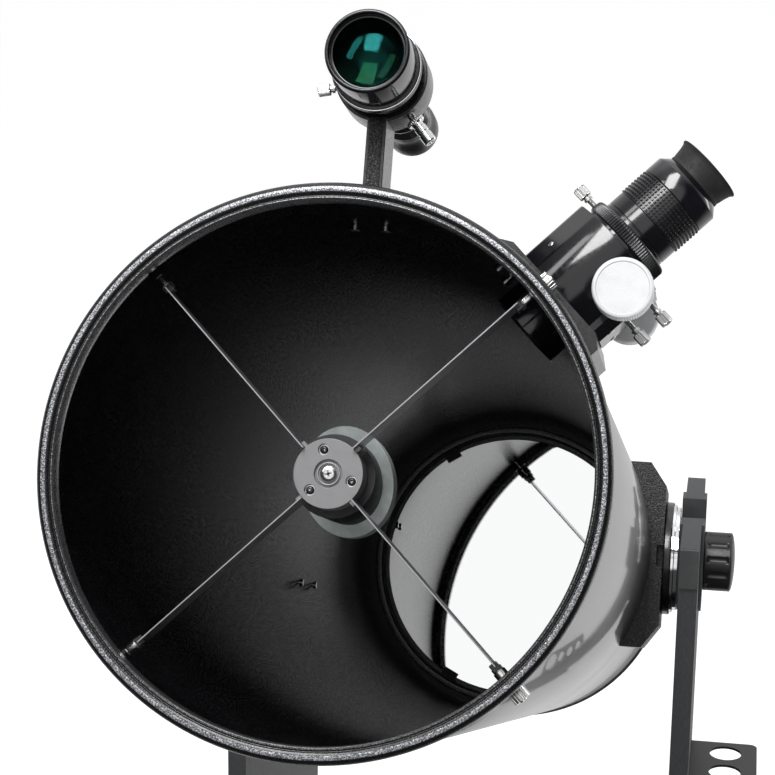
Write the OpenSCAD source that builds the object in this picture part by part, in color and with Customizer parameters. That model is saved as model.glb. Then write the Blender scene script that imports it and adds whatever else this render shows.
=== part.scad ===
// Dobsonian telescope: a 305 mm f/4.9 Newtonian tube on a turntable rocker base.
// World frame: +Z up, origin on the floor under the azimuth axis, the open end points to -Y and up.
// Tube frame, used inside on_tube(): X across, Y from the front rim to the rear end, Z away from
// the tube axis on its upper side.

/* [Optical tube] */
// Outside diameter of the rolled steel tube
tube_od = 356; // [352:1:358]
// Wall of the rolled steel tube
tube_wall = 1; // [0.8:0.1:1.5]
// Length over both end rings
tube_len = 1426; // [1400:1:1440]
// Elevation of the tube at rest, in degrees
altitude = 22.5; // [0:0.5:90]
// Distance from the front rim to the altitude axis
axis_s = 900; // [880:1:920]

/* [Optics] */
// Diameter of the primary mirror
mirror_d = 305; // [300:1:306]
// Thickness of the primary mirror at its edge
mirror_t = 36; // [30:1:37]
// Focal length of the primary mirror
focal_len = 1500; // [1400:10:1600]
// Minor axis of the elliptical secondary mirror
secondary_d = 70; // [63:1:74]
// Distance from the front rim to the focuser axis
focuser_s = 122; // [118:1:130]

/* [Rocker base] */
// Height of the altitude axis above the floor
axis_h = 700; // [695:1:720]
// Distance of the altitude axis in front of the azimuth axis
axis_forward = 28; // [24:1:30]
// Thickness of every board
board_t = 18; // [16:1:19]
// Diameter of both round boards
board_d = 660; // [655:1:680]
// Distance from the centre plane to a side panel's inner face
panel_x = 208; // [208:0.5:210]
// Length of a side panel at its foot
panel_len = 464; // [462:1:468]
// Height of the front panel's upper edge
front_panel_top = 430; // [400:1:440]

/* [Focuser and finder] */
// Outside diameter of the focuser drawtube
drawtube_od = 54; // [53.5:0.1:54.5]
// Diameter of the coarse focusing knobs
coarse_knob_d = 40; // [38:0.5:41]
// Height of the finder axis above the tube axis
finder_z = 280; // [278:1:282]

/* [Hidden] */
$fn = 64;

// Clearances
running_fit = 0.08;      // radial, a shaft in its bore
gap = 0.2;               // between faces that slide past each other
through = 1;             // how far a cutter passes the face that it cuts

// Tube
tube_r = tube_od / 2;
tube_ir = tube_r - tube_wall;
ring_r = tube_r + 2.5;
ring_lip_r = 169;
ring_len = 14;
ring_cap = 4;            // the part of a ring that stands beyond the tube's end

// Base, stacked upwards from the floor
foot_h = 25;
ground_top = foot_h + board_t;
race_t = 1.5;
roller_r = 4;
roller_z = ground_top + race_t + roller_r;
upper_race_z = ground_top + race_t + 2 * roller_r;
rocker_z = upper_race_z + race_t;
rocker_top = rocker_z + board_t;
pivot_r = 5;
race_mid_r = 195;
roller_len = 24;
roller_count = 24;
foot_circle_r = 270;
foot_r = 33;
foot_pad_r = 28;
foot_pad_h = 10;

// Side panels; lengths along Y
axis_y = -axis_forward;
panel_front = -panel_len / 2;
panel_rear = panel_len / 2;
neck_front = axis_y - 122;
neck_rear = axis_y + 100;
panel_top = axis_h + 54;
front_flare_top = 445;
rear_flare_top = 500;
horn_round = 3;
notch_r = 33;
cradle_t = 3;
hub_r = notch_r - cradle_t;
outer_x = panel_x + board_t;

// Altitude bearings, lengths along X
bracket_x = 190;
plate_x = bracket_x + gap;
race_x = 198;
hub_x = panel_x - cradle_t - 0.2;
hub_end_x = outer_x + cradle_t - 0.2;
knob_x = outer_x + cradle_t + gap;
knob_end_x = 259.5;
knob_r = 29;
stud_r = 8;
stud_end_x = 246;
bearing_r = 55.5;
bearing_race_r = 53.5;
rib_w = 20;
rib_h = 6;
bracket_len = 104;
bracket_half = 90;
bracket_face_half = 67.5;
bracket_side_x = 174;

// Spider and secondary mirror
spider_s = 39;
spider_angles = [45, 135, 225, 315];
hub_disc_r = 22.3;
hub_face_s = 33;
vane_half_w = 11;
vane_t = 0.8;
vane_end_r = 168;
holder_r = 27;
secondary_t = 12;
set_screw_circle_r = 15.6;
set_screw_angles = [15, 135, 255];
set_screw_r = 3.4;
hub_recess_h = 2.5;      // the shallow recess in the middle of the hub's face
centre_bolt_sink = 1.6;
set_screw_sink = 2.9;

// Primary mirror and its cell
mirror_s = 1359;
mirror_back_s = mirror_s + mirror_t;
cell_t = 10;
cell_wall_r = mirror_d / 2 + 1;
cell_wall_t = 4;
cell_bolt_r = 128;
cell_angles = [90, 210, 330];
clip_angles = [3, 123, 243];
spoke_s = tube_len - 12;
knob_s = tube_len + 4;
fan_half = 40;
fan_t = 15;

// Focuser: lengths along its axis are distances from the tube axis
focuser_angle = 45;
drawtube_r = drawtube_od / 2;
drawtube_in = 154.5;
base_top = 186;
housing_top = 238;
housing_r = 37.5;
barrel_r = 25.4;
adapter_z = 240.4;
adapter_top = 249.6;
adapter_r = 31.5;
shaft_z = 217.5;
shaft_t = 31;
shaft_r = 3;
drive_roller_r = 3.9;
block_face_t = 41;
knob_out = 62;
coarse_knob_t = 14;
fine_stub_r = 2;
screw_r = 2;
screw_head_r = 4.4;
lock_z = 228.5;
tension_z = 209.5;

// Finder
finder_s = 138;
finder_ring_r = 32;
finder_bore_r = 27.5;
finder_tube_r = 24;
stalk_half = 6.7;
stalk_len = 38;
stalk_s = finder_s - stalk_len / 2;
shoe_top = 191;
cell_front_s = 58;
lock_ring_s = 98;
plunger_angle = -49.5;
thumb_left_angle = 190.5;
thumb_top_angle = 112;

// Eyepiece
grip_r = 26.8;

// Bolts through the tube's wall
bolt_r = 2;
bolt_clear = 0.05;
shoe_bolt_xs = [-10.4, 10.4];
shoe_bolt_s = 126;
bracket_bolt_ss = [axis_s - 38, axis_s + 38];
bracket_bolt_ns = [-50, 50];
base_bolt_ss = [focuser_s - 25, focuser_s + 25];
base_bolt_ts = [-38, 38];

// Eyepiece rack and the screws of the rocker box
panel_screw_heights = [120, 250, 380];
panel_screw_r = 2.5;
panel_screw_y = panel_front + board_t / 2;
rack_z = 476;
rack_t = 2.5;
rack_front = neck_front - 3;
rack_rear = 39.5;
rack_x = 293.5;
rack_hole_x = 261.5;
small_hole_ys = [13.5, -31, -75.5];
big_hole_y = -122;
rack_screw_ys = [-110, 5];
rack_screw_z = 458;
rack_screw_len = 14;

// ---------------------------------------------------------------- placing

module on_tube() {
    translate([0, axis_y, axis_h])
        rotate([-altitude, 0, 0])
            translate([0, -axis_s, 0])
                children();
}

// turns children drawn along Z so that Z runs along the tube, away from the front rim
module along_tube(s = 0) {
    translate([0, s, 0])
        rotate([-90, 0, 0])
            children();
}

// places children at an angle about the tube axis: +X is outwards, +Z runs round the tube
module around(angle) {
    rotate([0, -angle, 0])
        children();
}

// places children drawn along Z on the focuser axis, with Z outwards and X along +T,
// the side of the drive shaft
module on_focuser() {
    on_tube()
        around(focuser_angle)
            translate([0, focuser_s, 0])
                rotate([0, 90, 0])
                    children();
}

// places children drawn along Z on the finder axis
module on_finder(s) {
    on_tube()
        translate([0, 0, finder_z])
            along_tube(s)
                children();
}

// places children drawn along Z so that Z points outwards from the finder axis
module finder_radial(angle) {
    on_tube()
        translate([0, finder_s, finder_z])
            rotate([0, 90 - angle, 0])
                children();
}

module both_sides() {
    for (side = [0, 1])
        mirror([side, 0, 0])
            children();
}

// ---------------------------------------------------------------- shared shapes

module annulus(r_out, r_in, h) {
    difference() {
        cylinder(r = r_out, h = h);
        translate([0, 0, -through])
            cylinder(r = r_in, h = h + 2 * through);
    }
}

module disc_with_flutes(r, h, flutes, flute_r, depth) {
    difference() {
        cylinder(r = r, h = h);
        for (i = [0 : flutes - 1])
            rotate([0, 0, i * 360 / flutes])
                translate([r + flute_r - depth, 0, -through])
                    cylinder(r = flute_r, h = h + 2 * through, $fn = 24);
    }
}

// a knurled thumbscrew along Z: its shank starts at 0 and its head ends at length
module thumbscrew(length, head_len, shank_r = screw_r, head_r = screw_head_r) {
    color("silver") {
        cylinder(r = shank_r, h = length - head_len + through);
        translate([0, 0, length - head_len - 2])
            cylinder(r = shank_r + 1, h = 2.5);
        translate([0, 0, length - head_len])
            disc_with_flutes(head_r, head_len, 18, 0.6, 0.35);
    }
}

// ---------------------------------------------------------------- ground board and azimuth bearing

module ground_board() {
    color("#26282b")
        difference() {
            translate([0, 0, foot_h])
                cylinder(r = board_d / 2, h = board_t, $fn = 128);
            translate([0, 0, foot_h - through])
                cylinder(r = pivot_r + bolt_clear, h = board_t + 2 * through);
        }
}

module ground_feet() {
    color("#17181a")
        for (i = [0 : 2])
            rotate([0, 0, 90 + i * 120])
                translate([foot_circle_r, 0, 0])
                    rotate_extrude()
                        polygon([
                            [0, 0], [foot_pad_r, 0], [foot_pad_r, foot_pad_h],
                            [foot_r, foot_pad_h + 4], [foot_r, foot_h], [0, foot_h]
                        ]);
}

module azimuth_race() {
    annulus(race_mid_r + 20, race_mid_r - 20, race_t);
}

module azimuth_lower_race() {
    color("lightgray")
        translate([0, 0, ground_top])
            azimuth_race();
}

module azimuth_upper_race() {
    color("lightgray")
        translate([0, 0, upper_race_z])
            azimuth_race();
}

module azimuth_pivot_bolt() {
    color("silver") {
        translate([0, 0, foot_h - 6])
            cylinder(r = 9, h = 6, $fn = 6);
        translate([0, 0, foot_h - 2])
            cylinder(r = pivot_r, h = rocker_top + 26 - foot_h);
    }
}

module azimuth_roller_cage() {
    cage_t = 4;
    slot_w = 2 * roller_r + 2 * gap;
    color("#d9d9d2")
        difference() {
            translate([0, 0, roller_z - cage_t / 2])
                annulus(race_mid_r + 18, race_mid_r - 18, cage_t);
            for (i = [0 : roller_count - 1])
                rotate([0, 0, i * 360 / roller_count])
                    translate([race_mid_r - roller_len / 2 - gap, -slot_w / 2, roller_z - cage_t])
                        cube([roller_len + 2 * gap, slot_w, 2 * cage_t]);
        }
}

module azimuth_rollers() {
    clear_r = roller_r - 0.02;
    color("silver")
        for (i = [0 : roller_count - 1])
            rotate([0, 0, i * 360 / roller_count])
                translate([race_mid_r - roller_len / 2, 0, roller_z])
                    rotate([0, 90, 0])
                        cylinder(r = clear_r, h = roller_len, $fn = 24);
}

module azimuth_knob() {
    color("#1b1c1e")
        difference() {
            translate([0, 0, rocker_top + gap])
                union() {
                    cylinder(r = 13, h = 8);
                    translate([0, 0, 7])
                        disc_with_flutes(26, 20, 8, 8, 3);
                }
            translate([0, 0, rocker_top - through])
                cylinder(r = pivot_r + running_fit, h = 26);
        }
}

// ---------------------------------------------------------------- rocker box

module rocker_board() {
    color("#26282b")
        difference() {
            translate([0, 0, rocker_z])
                cylinder(r = board_d / 2, h = board_t, $fn = 128);
            translate([0, 0, rocker_z - through])
                cylinder(r = pivot_r + running_fit, h = board_t + 2 * through);
        }
}

// outline of a side panel: X is the world's Y, Y is the height
module panel_outline() {
    front_flare_r = neck_front - panel_front;
    rear_flare_r = panel_rear - neck_rear;
    foot_top = rear_flare_top - rear_flare_r;
    difference() {
        union() {
            translate([panel_front, rocker_top])
                square([panel_len, foot_top - rocker_top]);
            translate([neck_front, foot_top - through])
                square([neck_rear - neck_front, panel_top - horn_round - foot_top + through]);
            translate([neck_front + horn_round, panel_top - 2 * horn_round])
                square([neck_rear - neck_front - 2 * horn_round, 2 * horn_round]);
            for (y = [neck_front + horn_round, neck_rear - horn_round])
                translate([y, panel_top - horn_round])
                    circle(r = horn_round);
            difference() {
                translate([panel_front, foot_top - through])
                    square([front_flare_r + through, front_flare_top - foot_top + through]);
                translate([panel_front, front_flare_top])
                    circle(r = front_flare_r, $fn = 128);
            }
            difference() {
                translate([neck_rear - through, foot_top - through])
                    square([rear_flare_r + through, rear_flare_r + through]);
                translate([panel_rear, rear_flare_top])
                    circle(r = rear_flare_r, $fn = 128);
            }
        }
        translate([axis_y, axis_h])
            circle(r = notch_r);
        translate([axis_y - notch_r, axis_h])
            square([2 * notch_r, panel_top]);
    }
}

module side_panel() {
    difference() {
        translate([panel_x, 0, 0])
            rotate([90, 0, 90])
                linear_extrude(board_t)
                    panel_outline();
        for (z = panel_screw_heights)
            translate([panel_x - through, panel_screw_y, z])
                rotate([0, 90, 0])
                    cylinder(r = panel_screw_r + bolt_clear, h = board_t + 2 * through, $fn = 24);
    }
}

module side_panel_left() {
    color("#3a3d40")
        mirror([1, 0, 0])
            side_panel();
}

module side_panel_right() {
    color("#3a3d40")
        difference() {
            side_panel();
            for (y = rack_screw_ys)
                translate([outer_x - rack_screw_len, y, rack_screw_z])
                    rotate([0, 90, 0])
                        cylinder(r = panel_screw_r + bolt_clear, h = rack_screw_len + through, $fn = 24);
        }
}

module front_panel() {
    sag_r = 900;
    sag = 22;
    color("#3a3d40")
        difference() {
            translate([-panel_x, panel_front, rocker_top])
                cube([2 * panel_x, board_t, front_panel_top - rocker_top]);
            translate([0, panel_front - through, front_panel_top - sag + sag_r])
                rotate([-90, 0, 0])
                    cylinder(r = sag_r, h = board_t + 2 * through, $fn = 360);
            both_sides()
                for (z = panel_screw_heights)
                    translate([panel_x - 32, panel_screw_y, z])
                        rotate([0, 90, 0])
                            cylinder(r = panel_screw_r + bolt_clear, h = 34, $fn = 24);
        }
}

module carry_handle() {
    span = 120;
    bar_r = 9;
    reach = 42;
    handle_z = 330;
    color("#141517")
        translate([0, panel_front, handle_z]) {
            for (side = [-1, 1]) {
                translate([side * span / 2, 0, 0])
                    rotate([90, 0, 0])
                        cylinder(r = bar_r, h = reach);
                translate([side * span / 2, 0, 0])
                    rotate([90, 0, 0])
                        cylinder(r = bar_r + 7, h = 4);
                translate([side * span / 2, -reach, 0])
                    sphere(r = bar_r);
            }
            translate([-span / 2, -reach, 0])
                rotate([0, 90, 0])
                    cylinder(r = bar_r, h = span);
        }
}

module base_screws() {
    color("#2b2c2e") {
        both_sides()
            for (z = panel_screw_heights)
                translate([outer_x, panel_screw_y, z])
                    rotate([0, 90, 0]) {
                        translate([0, 0, -48])
                            cylinder(r = panel_screw_r, h = 49, $fn = 24);
                        cylinder(r = 6, h = 1.5, $fn = 24);
                    }
        for (y = rack_screw_ys)
            translate([outer_x, y, rack_screw_z])
                rotate([0, 90, 0]) {
                    translate([0, 0, -rack_screw_len])
                        cylinder(r = panel_screw_r, h = rack_screw_len + rack_t + 1, $fn = 24);
                    translate([0, 0, rack_t])
                        cylinder(r = 5, h = 2.2, $fn = 24);
                }
    }
}

// a U open to the top, drawn like the panel outline
module cradle_outline(r) {
    intersection() {
        union() {
            translate([axis_y, axis_h])
                circle(r = r);
            translate([axis_y - r, axis_h])
                square([2 * r, panel_top - axis_h]);
        }
        translate([neck_front, rocker_top])
            square([neck_rear - neck_front, panel_top - rocker_top]);
    }
}

// liners of the notches, and a black pad on the front edge of each front horn
module altitude_cradles() {
    flange_r = 50;
    pad_h = 38;
    pad_t = 3;
    color("#4b4e51")
        both_sides() {
            translate([panel_x, neck_front - pad_t, panel_top - pad_h])
                cube([board_t, pad_t, pad_h]);
            difference() {
                union() {
                    for (x = [panel_x - cradle_t, outer_x])
                        translate([x, 0, 0])
                            rotate([90, 0, 90])
                                linear_extrude(cradle_t)
                                    cradle_outline(flange_r);
                    translate([panel_x - cradle_t, 0, 0])
                        rotate([90, 0, 90])
                            linear_extrude(board_t + 2 * cradle_t)
                                cradle_outline(notch_r - 0.05);
                }
                translate([panel_x - 2 * cradle_t, 0, 0])
                    rotate([90, 0, 90])
                        linear_extrude(board_t + 4 * cradle_t) {
                            translate([axis_y, axis_h])
                                circle(r = hub_r);
                            translate([axis_y - hub_r, axis_h])
                                square([2 * hub_r, panel_top]);
                        }
            }
        }
}

module eyepiece_rack() {
    corner = 8;
    flange_h = 36;
    rack_len = rack_rear - rack_front;
    color("#121314")
        difference() {
            union() {
                translate([outer_x, rack_front, rack_z - rack_t])
                    cube([rack_x - outer_x - corner, rack_len, rack_t]);
                translate([outer_x, rack_front + corner, rack_z - rack_t])
                    cube([rack_x - outer_x, rack_len - 2 * corner, rack_t]);
                for (y = [rack_front + corner, rack_rear - corner])
                    translate([rack_x - corner, y, rack_z - rack_t])
                        cylinder(r = corner, h = rack_t);
                translate([outer_x, rack_front, rack_z - flange_h])
                    cube([rack_t, rack_len, flange_h]);
            }
            for (y = small_hole_ys)
                translate([rack_hole_x, y, rack_z - 2 * rack_t])
                    cylinder(r = 16.25, h = 3 * rack_t);
            translate([rack_hole_x, big_hole_y, rack_z - 2 * rack_t])
                cylinder(r = 25.75, h = 3 * rack_t);
            for (y = rack_screw_ys)
                translate([outer_x - through, y, rack_screw_z])
                    rotate([0, 90, 0])
                        cylinder(r = panel_screw_r + bolt_clear, h = rack_t + 2 * through, $fn = 24);
        }
}

// ---------------------------------------------------------------- altitude bearings

module on_altitude_axis() {
    translate([0, axis_y, axis_h])
        rotate([-altitude, 0, 0])
            rotate([0, 90, 0])
                children();
}

module altitude_hubs() {
    color("#1d1e20")
        both_sides()
            on_altitude_axis()
                translate([0, 0, hub_x])
                    annulus(hub_r - 0.05, stud_r + running_fit, hub_end_x - hub_x);
}

module altitude_plates() {
    color("#151618")
        both_sides() {
            on_altitude_axis() {
                translate([0, 0, plate_x])
                    cylinder(r = bearing_r, h = race_x - plate_x);
                translate([0, 0, plate_x])
                    cylinder(r = stud_r, h = stud_end_x - plate_x);
            }
            on_tube()
                translate([plate_x - rib_h, axis_s - bearing_r + 12, -rib_w / 2])
                    cube([rib_h + 1, 2 * bearing_r - 24, rib_w]);
        }
}

module altitude_races() {
    race_lip = 2.5;
    color("white")
        both_sides()
            on_altitude_axis()
                translate([0, 0, race_x])
                    difference() {
                        union() {
                            cylinder(r = bearing_race_r - race_lip, h = hub_x - race_x - gap);
                            cylinder(r = bearing_race_r, h = race_lip);
                        }
                        translate([0, 0, -through])
                            cylinder(r = stud_r + bolt_clear, h = hub_x);
                    }
}

// profile of the knob: a straight grip and a shallow domed cap
module altitude_knob() {
    dome_h = 4;
    dome_steps = 8;
    grip_h = knob_end_x - knob_x - dome_h;
    dome = [for (i = [0 : dome_steps])
        [knob_r * cos(90 * i / dome_steps), grip_h + dome_h * sin(90 * i / dome_steps)]];
    color("#141416")
        on_altitude_axis()
            translate([0, 0, knob_x])
                difference() {
                    rotate_extrude()
                        polygon(concat([[0, 0], [knob_r - 1, 0], [knob_r, 1]], dome));
                    for (i = [0 : 11])
                        rotate([0, 0, i * 30])
                            translate([knob_r + 2.2, 0, 4])
                                cylinder(r = 4, h = grip_h - 8, $fn = 24);
                    translate([0, 0, -through])
                        cylinder(r = stud_r + running_fit, h = stud_end_x - knob_x + 2);
                }
}

module altitude_knob_right() {
    altitude_knob();
}

module altitude_knob_left() {
    mirror([1, 0, 0])
        altitude_knob();
}

// ---------------------------------------------------------------- optical tube

module optical_tube() {
    color("#2a2c33")
        on_tube()
            difference() {
                along_tube(ring_cap)
                    annulus(tube_r, tube_ir, tube_len - 2 * ring_cap, $fn = 128);
                around(focuser_angle)
                    translate([tube_ir - 10, focuser_s, 0])
                        rotate([0, 90, 0])
                            cylinder(r = 30, h = 20);
                for (a = spider_angles)
                    around(a)
                        radial_hole(spider_s, 2.5 + bolt_clear);
                for (x = shoe_bolt_xs)
                    translate([x, shoe_bolt_s, tube_r - 20])
                        cylinder(r = bolt_r + bolt_clear, h = 30, $fn = 24);
                both_sides()
                    for (s = bracket_bolt_ss, n = bracket_bolt_ns)
                        translate([tube_r - 40, s, n])
                            rotate([0, 90, 0])
                                cylinder(r = bolt_r + bolt_clear, h = 50, $fn = 24);
                around(focuser_angle)
                    for (s = base_bolt_ss, t = base_bolt_ts)
                        translate([tube_r - 30, s, t])
                            rotate([0, 90, 0])
                                cylinder(r = bolt_r + bolt_clear, h = 50, $fn = 24);
            }
}

module radial_hole(s, r) {
    translate([tube_ir - 20, s, 0])
        rotate([0, 90, 0])
            cylinder(r = r, h = 60, $fn = 24);
}

// cross-section of an end ring: X is the radius, Y runs from the open end inwards
module ring_section() {
    outer_round = 3;
    lip_round = 1.5;
    groove_r = ring_lip_r + 2.4;
    groove_w = 1.2;
    groove_depth = 1;
    middle_r = ring_lip_r + lip_round;
    shoulder_r = ring_r - outer_round;
    difference() {
        union() {
            translate([middle_r, 0])
                square([shoulder_r - middle_r, ring_len]);
            translate([ring_lip_r, lip_round])
                square([2 * lip_round, ring_len - lip_round]);
            translate([shoulder_r - lip_round, outer_round])
                square([outer_round + lip_round, ring_len - outer_round]);
            translate([shoulder_r, outer_round])
                circle(r = outer_round);
            translate([middle_r, lip_round])
                circle(r = lip_round);
        }
        translate([tube_ir, ring_cap])
            square([tube_wall, ring_len]);
        translate([groove_r, -through])
            square([groove_w, groove_depth + through]);
    }
}

module end_ring() {
    rotate_extrude($fn = 128)
        ring_section();
}

module front_ring() {
    color("#34373b")
        on_tube()
            along_tube()
                end_ring();
}

module rear_ring() {
    spoke_w = 26;
    centre_r = 56;
    web_r = 148;
    color("#1c1d20")
        on_tube()
            along_tube() {
                translate([0, 0, tube_len])
                    mirror([0, 0, 1])
                        end_ring();
                translate([0, 0, spoke_s])
                    difference() {
                        union() {
                            cylinder(r = centre_r, h = 12);
                            annulus(ring_lip_r + 2, web_r, 4, $fn = 128);
                            for (a = cell_angles)
                                rotate([0, 0, a])
                                    translate([centre_r - 8, -spoke_w / 2, 0])
                                        cube([ring_lip_r + 2 - centre_r + 8, spoke_w, 11]);
                        }
                        translate([0, 0, -through])
                            cylinder(r = fan_half - 3, h = 14);
                        for (a = cell_angles)
                            rotate([0, 0, a])
                                translate([cell_bolt_r, 0, -through])
                                    cylinder(r = 3 + running_fit, h = 14);
                        for (a = cell_angles)
                            rotate([0, 0, a])
                                translate([cell_bolt_r - 26, 0, -through])
                                    cylinder(r = 2.5 + bolt_clear, h = 14);
                    }
            }
}

// footprint-wide block with chamfered flanks, cut to the tube's curve
module altitude_brackets() {
    inner_x = 140;
    slot_clear = 0.2;
    color("#121314")
        on_tube()
            both_sides()
                difference() {
                    translate([0, axis_s - bracket_len / 2, 0])
                        rotate([-90, 0, 0])
                            linear_extrude(bracket_len)
                                polygon([
                                    [inner_x, -bracket_half],
                                    [bracket_side_x, -bracket_half],
                                    [bracket_x, -bracket_face_half],
                                    [bracket_x, bracket_face_half],
                                    [bracket_side_x, bracket_half],
                                    [inner_x, bracket_half]]);
                    along_tube(axis_s - bracket_len)
                        cylinder(r = tube_r, h = 2 * bracket_len, $fn = 128);
                    translate([bracket_x - rib_h - slot_clear, 0, -rib_w / 2 - slot_clear])
                        cube([rib_h + 5, tube_len, rib_w + 2 * slot_clear]);
                    for (s = bracket_bolt_ss, n = bracket_bolt_ns)
                        translate([tube_r - 40, s, n])
                            rotate([0, 90, 0])
                                cylinder(r = bolt_r + bolt_clear, h = 46, $fn = 24);
                }
}

// ---------------------------------------------------------------- spider and secondary mirror

module spider_hub() {
    color("#8d9093")
        on_tube()
            along_tube(hub_face_s)
                difference() {
                    union() {
                        cylinder(r = hub_disc_r, h = 18);
                        for (a = spider_angles)
                            rotate([0, 0, a])
                                translate([hub_disc_r - 4, -0.4, 1])
                                    cube([8, 2.4, 16]);
                    }
                    translate([0, 0, -through])
                        cylinder(r = 9, h = hub_recess_h + through);
                    translate([0, 0, -through])
                        cylinder(r = 3 + bolt_clear, h = 22);
                    for (a = set_screw_angles)
                        rotate([0, 0, a])
                            translate([set_screw_circle_r, 0, -through])
                                cylinder(r = set_screw_r + bolt_clear, h = 22, $fn = 24);
                }
}

module spider_vanes() {
    clip_r = 160;
    color("#1a1b1d")
        on_tube()
            for (a = spider_angles)
                around(a)
                    difference() {
                        union() {
                            translate([hub_disc_r + 0.1, spider_s - vane_half_w, 0.5])
                                cube([clip_r - hub_disc_r, 2 * vane_half_w, vane_t]);
                            translate([clip_r, spider_s, 0])
                                rotate([0, 90, 0])
                                    cylinder(r = 3.6, h = vane_end_r - clip_r + 6, $fn = 24);
                        }
                        translate([clip_r + 2, spider_s, 0])
                            rotate([0, 90, 0])
                                cylinder(r = 2.5 + bolt_clear, h = 30, $fn = 24);
                    }
}

// bolts and nuts on the tube: four spider bolts with knurled nuts, the bolts of the finder shoe,
// the focuser base and the altitude brackets, the centre and tilt screws of the secondary
// mirror, and the three lock screws of the primary mirror
module tube_fasteners() {
    nut_h = 8;
    color("silver")
        on_tube() {
            for (a = spider_angles)
                around(a)
                    translate([162, spider_s, 0])
                        rotate([0, 90, 0]) {
                            cylinder(r = 2.5, h = tube_r - 162 + nut_h + 1, $fn = 24);
                            translate([0, 0, tube_r - 162 + 0.05])
                                disc_with_flutes(6, nut_h, 16, 0.8, 0.5);
                        }
            for (x = shoe_bolt_xs)
                translate([x, shoe_bolt_s, tube_ir - 4.2])
                    cap_bolt(9.2);
            around(focuser_angle)
                for (s = base_bolt_ss, t = base_bolt_ts)
                    translate([sqrt(pow(tube_ir, 2) - pow(t, 2)) - 6, s, t])
                        rotate([0, 90, 0])
                            cap_bolt(14);
            both_sides()
                for (s = bracket_bolt_ss, n = bracket_bolt_ns)
                    translate([sqrt(pow(tube_ir, 2) - pow(n, 2)) - 6, s, n])
                        rotate([0, 90, 0])
                            cap_bolt(14);
            along_tube(hub_face_s + centre_bolt_sink) {
                cylinder(r = 5.2, h = hub_recess_h - centre_bolt_sink);
                cylinder(r = 3, h = 27.9);
            }
            along_tube(hub_face_s + set_screw_sink)
                for (a = set_screw_angles)
                    rotate([0, 0, a])
                        translate([set_screw_circle_r, 0, 0])
                            cylinder(r = set_screw_r, h = 18, $fn = 24);
            along_tube(spoke_s - 5.5)
                for (a = cell_angles)
                    rotate([0, 0, a])
                        translate([cell_bolt_r - 26, 0, 0]) {
                            cylinder(r = 2.5, h = 22, $fn = 24);
                            translate([0, 0, 16.6])
                                disc_with_flutes(7, 7, 14, 1, 0.6);
                        }
        }
}

// a bolt along Z that starts with its head, inside the tube
module cap_bolt(length) {
    head_r = 3.6;
    head_h = 3.4;
    cylinder(r = bolt_r, h = length, $fn = 24);
    cylinder(r = head_r, h = head_h, $fn = 24);
}

// everything on the +s and +T side of the secondary mirror's back plane, in the focuser's frame
module behind_secondary(offset) {
    side = 400;
    around(focuser_angle)
        translate([0, focuser_s, 0])
            rotate([0, 0, 45])
                translate([offset, -side / 2, -side / 2])
                    cube([side, side, side]);
}

module secondary_holder() {
    holder_s = 54;
    color("#0f1011")
        on_tube()
            difference() {
                union() {
                    along_tube(holder_s)
                        cylinder(r = holder_r, h = 90);
                    along_tube(holder_s - 2)
                        cylinder(r = 12, h = 4);
                }
                behind_secondary(-secondary_t);
                around(focuser_angle)
                    translate([-holder_r - 10, holder_s + 34, -3])
                        cube([22, 20, 6]);
                along_tube(holder_s - 4)
                    cylinder(r = 3 + running_fit, h = 14);
            }
}

module secondary_mirror() {
    color("lightcyan")
        on_tube()
            difference() {
                along_tube(focuser_s - 70)
                    cylinder(r = secondary_d / 2, h = 140);
                behind_secondary(0);
                difference() {
                    translate([-200, -200, -200])
                        cube([400, 800, 400]);
                    behind_secondary(-secondary_t);
                }
            }
}

// ---------------------------------------------------------------- primary mirror

function mirror_depth(r) = pow(r, 2) / (4 * focal_len);

module primary_mirror() {
    steps = 10;
    bevel = 1;
    edge_r = mirror_d / 2;
    edge_depth = mirror_depth(edge_r - bevel);
    face = [for (i = [0 : steps])
        let (r = (edge_r - bevel) * i / steps) [r, edge_depth - mirror_depth(r)]];
    color("white")
        on_tube()
            along_tube(mirror_s)
                rotate_extrude($fn = 128)
                    polygon(concat(face, [[edge_r, bevel], [edge_r, mirror_t], [0, mirror_t]]));
}

module mirror_cell() {
    rim_r = cell_wall_r + cell_wall_t;
    color("#191a1c")
        on_tube()
            along_tube() {
                translate([0, 0, mirror_back_s - 26])
                    annulus(rim_r, cell_wall_r, 26 + cell_t, $fn = 128);
                translate([0, 0, mirror_back_s])
                    difference() {
                        union() {
                            annulus(rim_r, 108, cell_t, $fn = 128);
                            annulus(62, 44, cell_t);
                            for (a = cell_angles)
                                rotate([0, 0, a])
                                    translate([52, -14, 0])
                                        cube([66, 28, cell_t]);
                        }
                        for (a = cell_angles)
                            rotate([0, 0, a])
                                translate([cell_bolt_r, 0, 3])
                                    cylinder(r = 3 + running_fit, h = cell_t);
                    }
            }
}

module mirror_clips() {
    clip_s = mirror_s - 5.5;
    rim_r = cell_wall_r + cell_wall_t;
    color("#101112")
        on_tube()
            for (a = clip_angles)
                around(a) {
                    translate([rim_r + 0.05, clip_s, -9])
                        cube([3, 30, 18]);
                    translate([mirror_d / 2 - 6, clip_s, -9])
                        cube([rim_r + 3 - mirror_d / 2 + 6, 4.5, 18]);
                    for (side = [-1, 1])
                        translate([rim_r - 1.5, clip_s - 2, side * 5])
                            rotate([-90, 0, 0])
                                cylinder(r = 2.6, h = 3, $fn = 24);
                }
}

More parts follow.
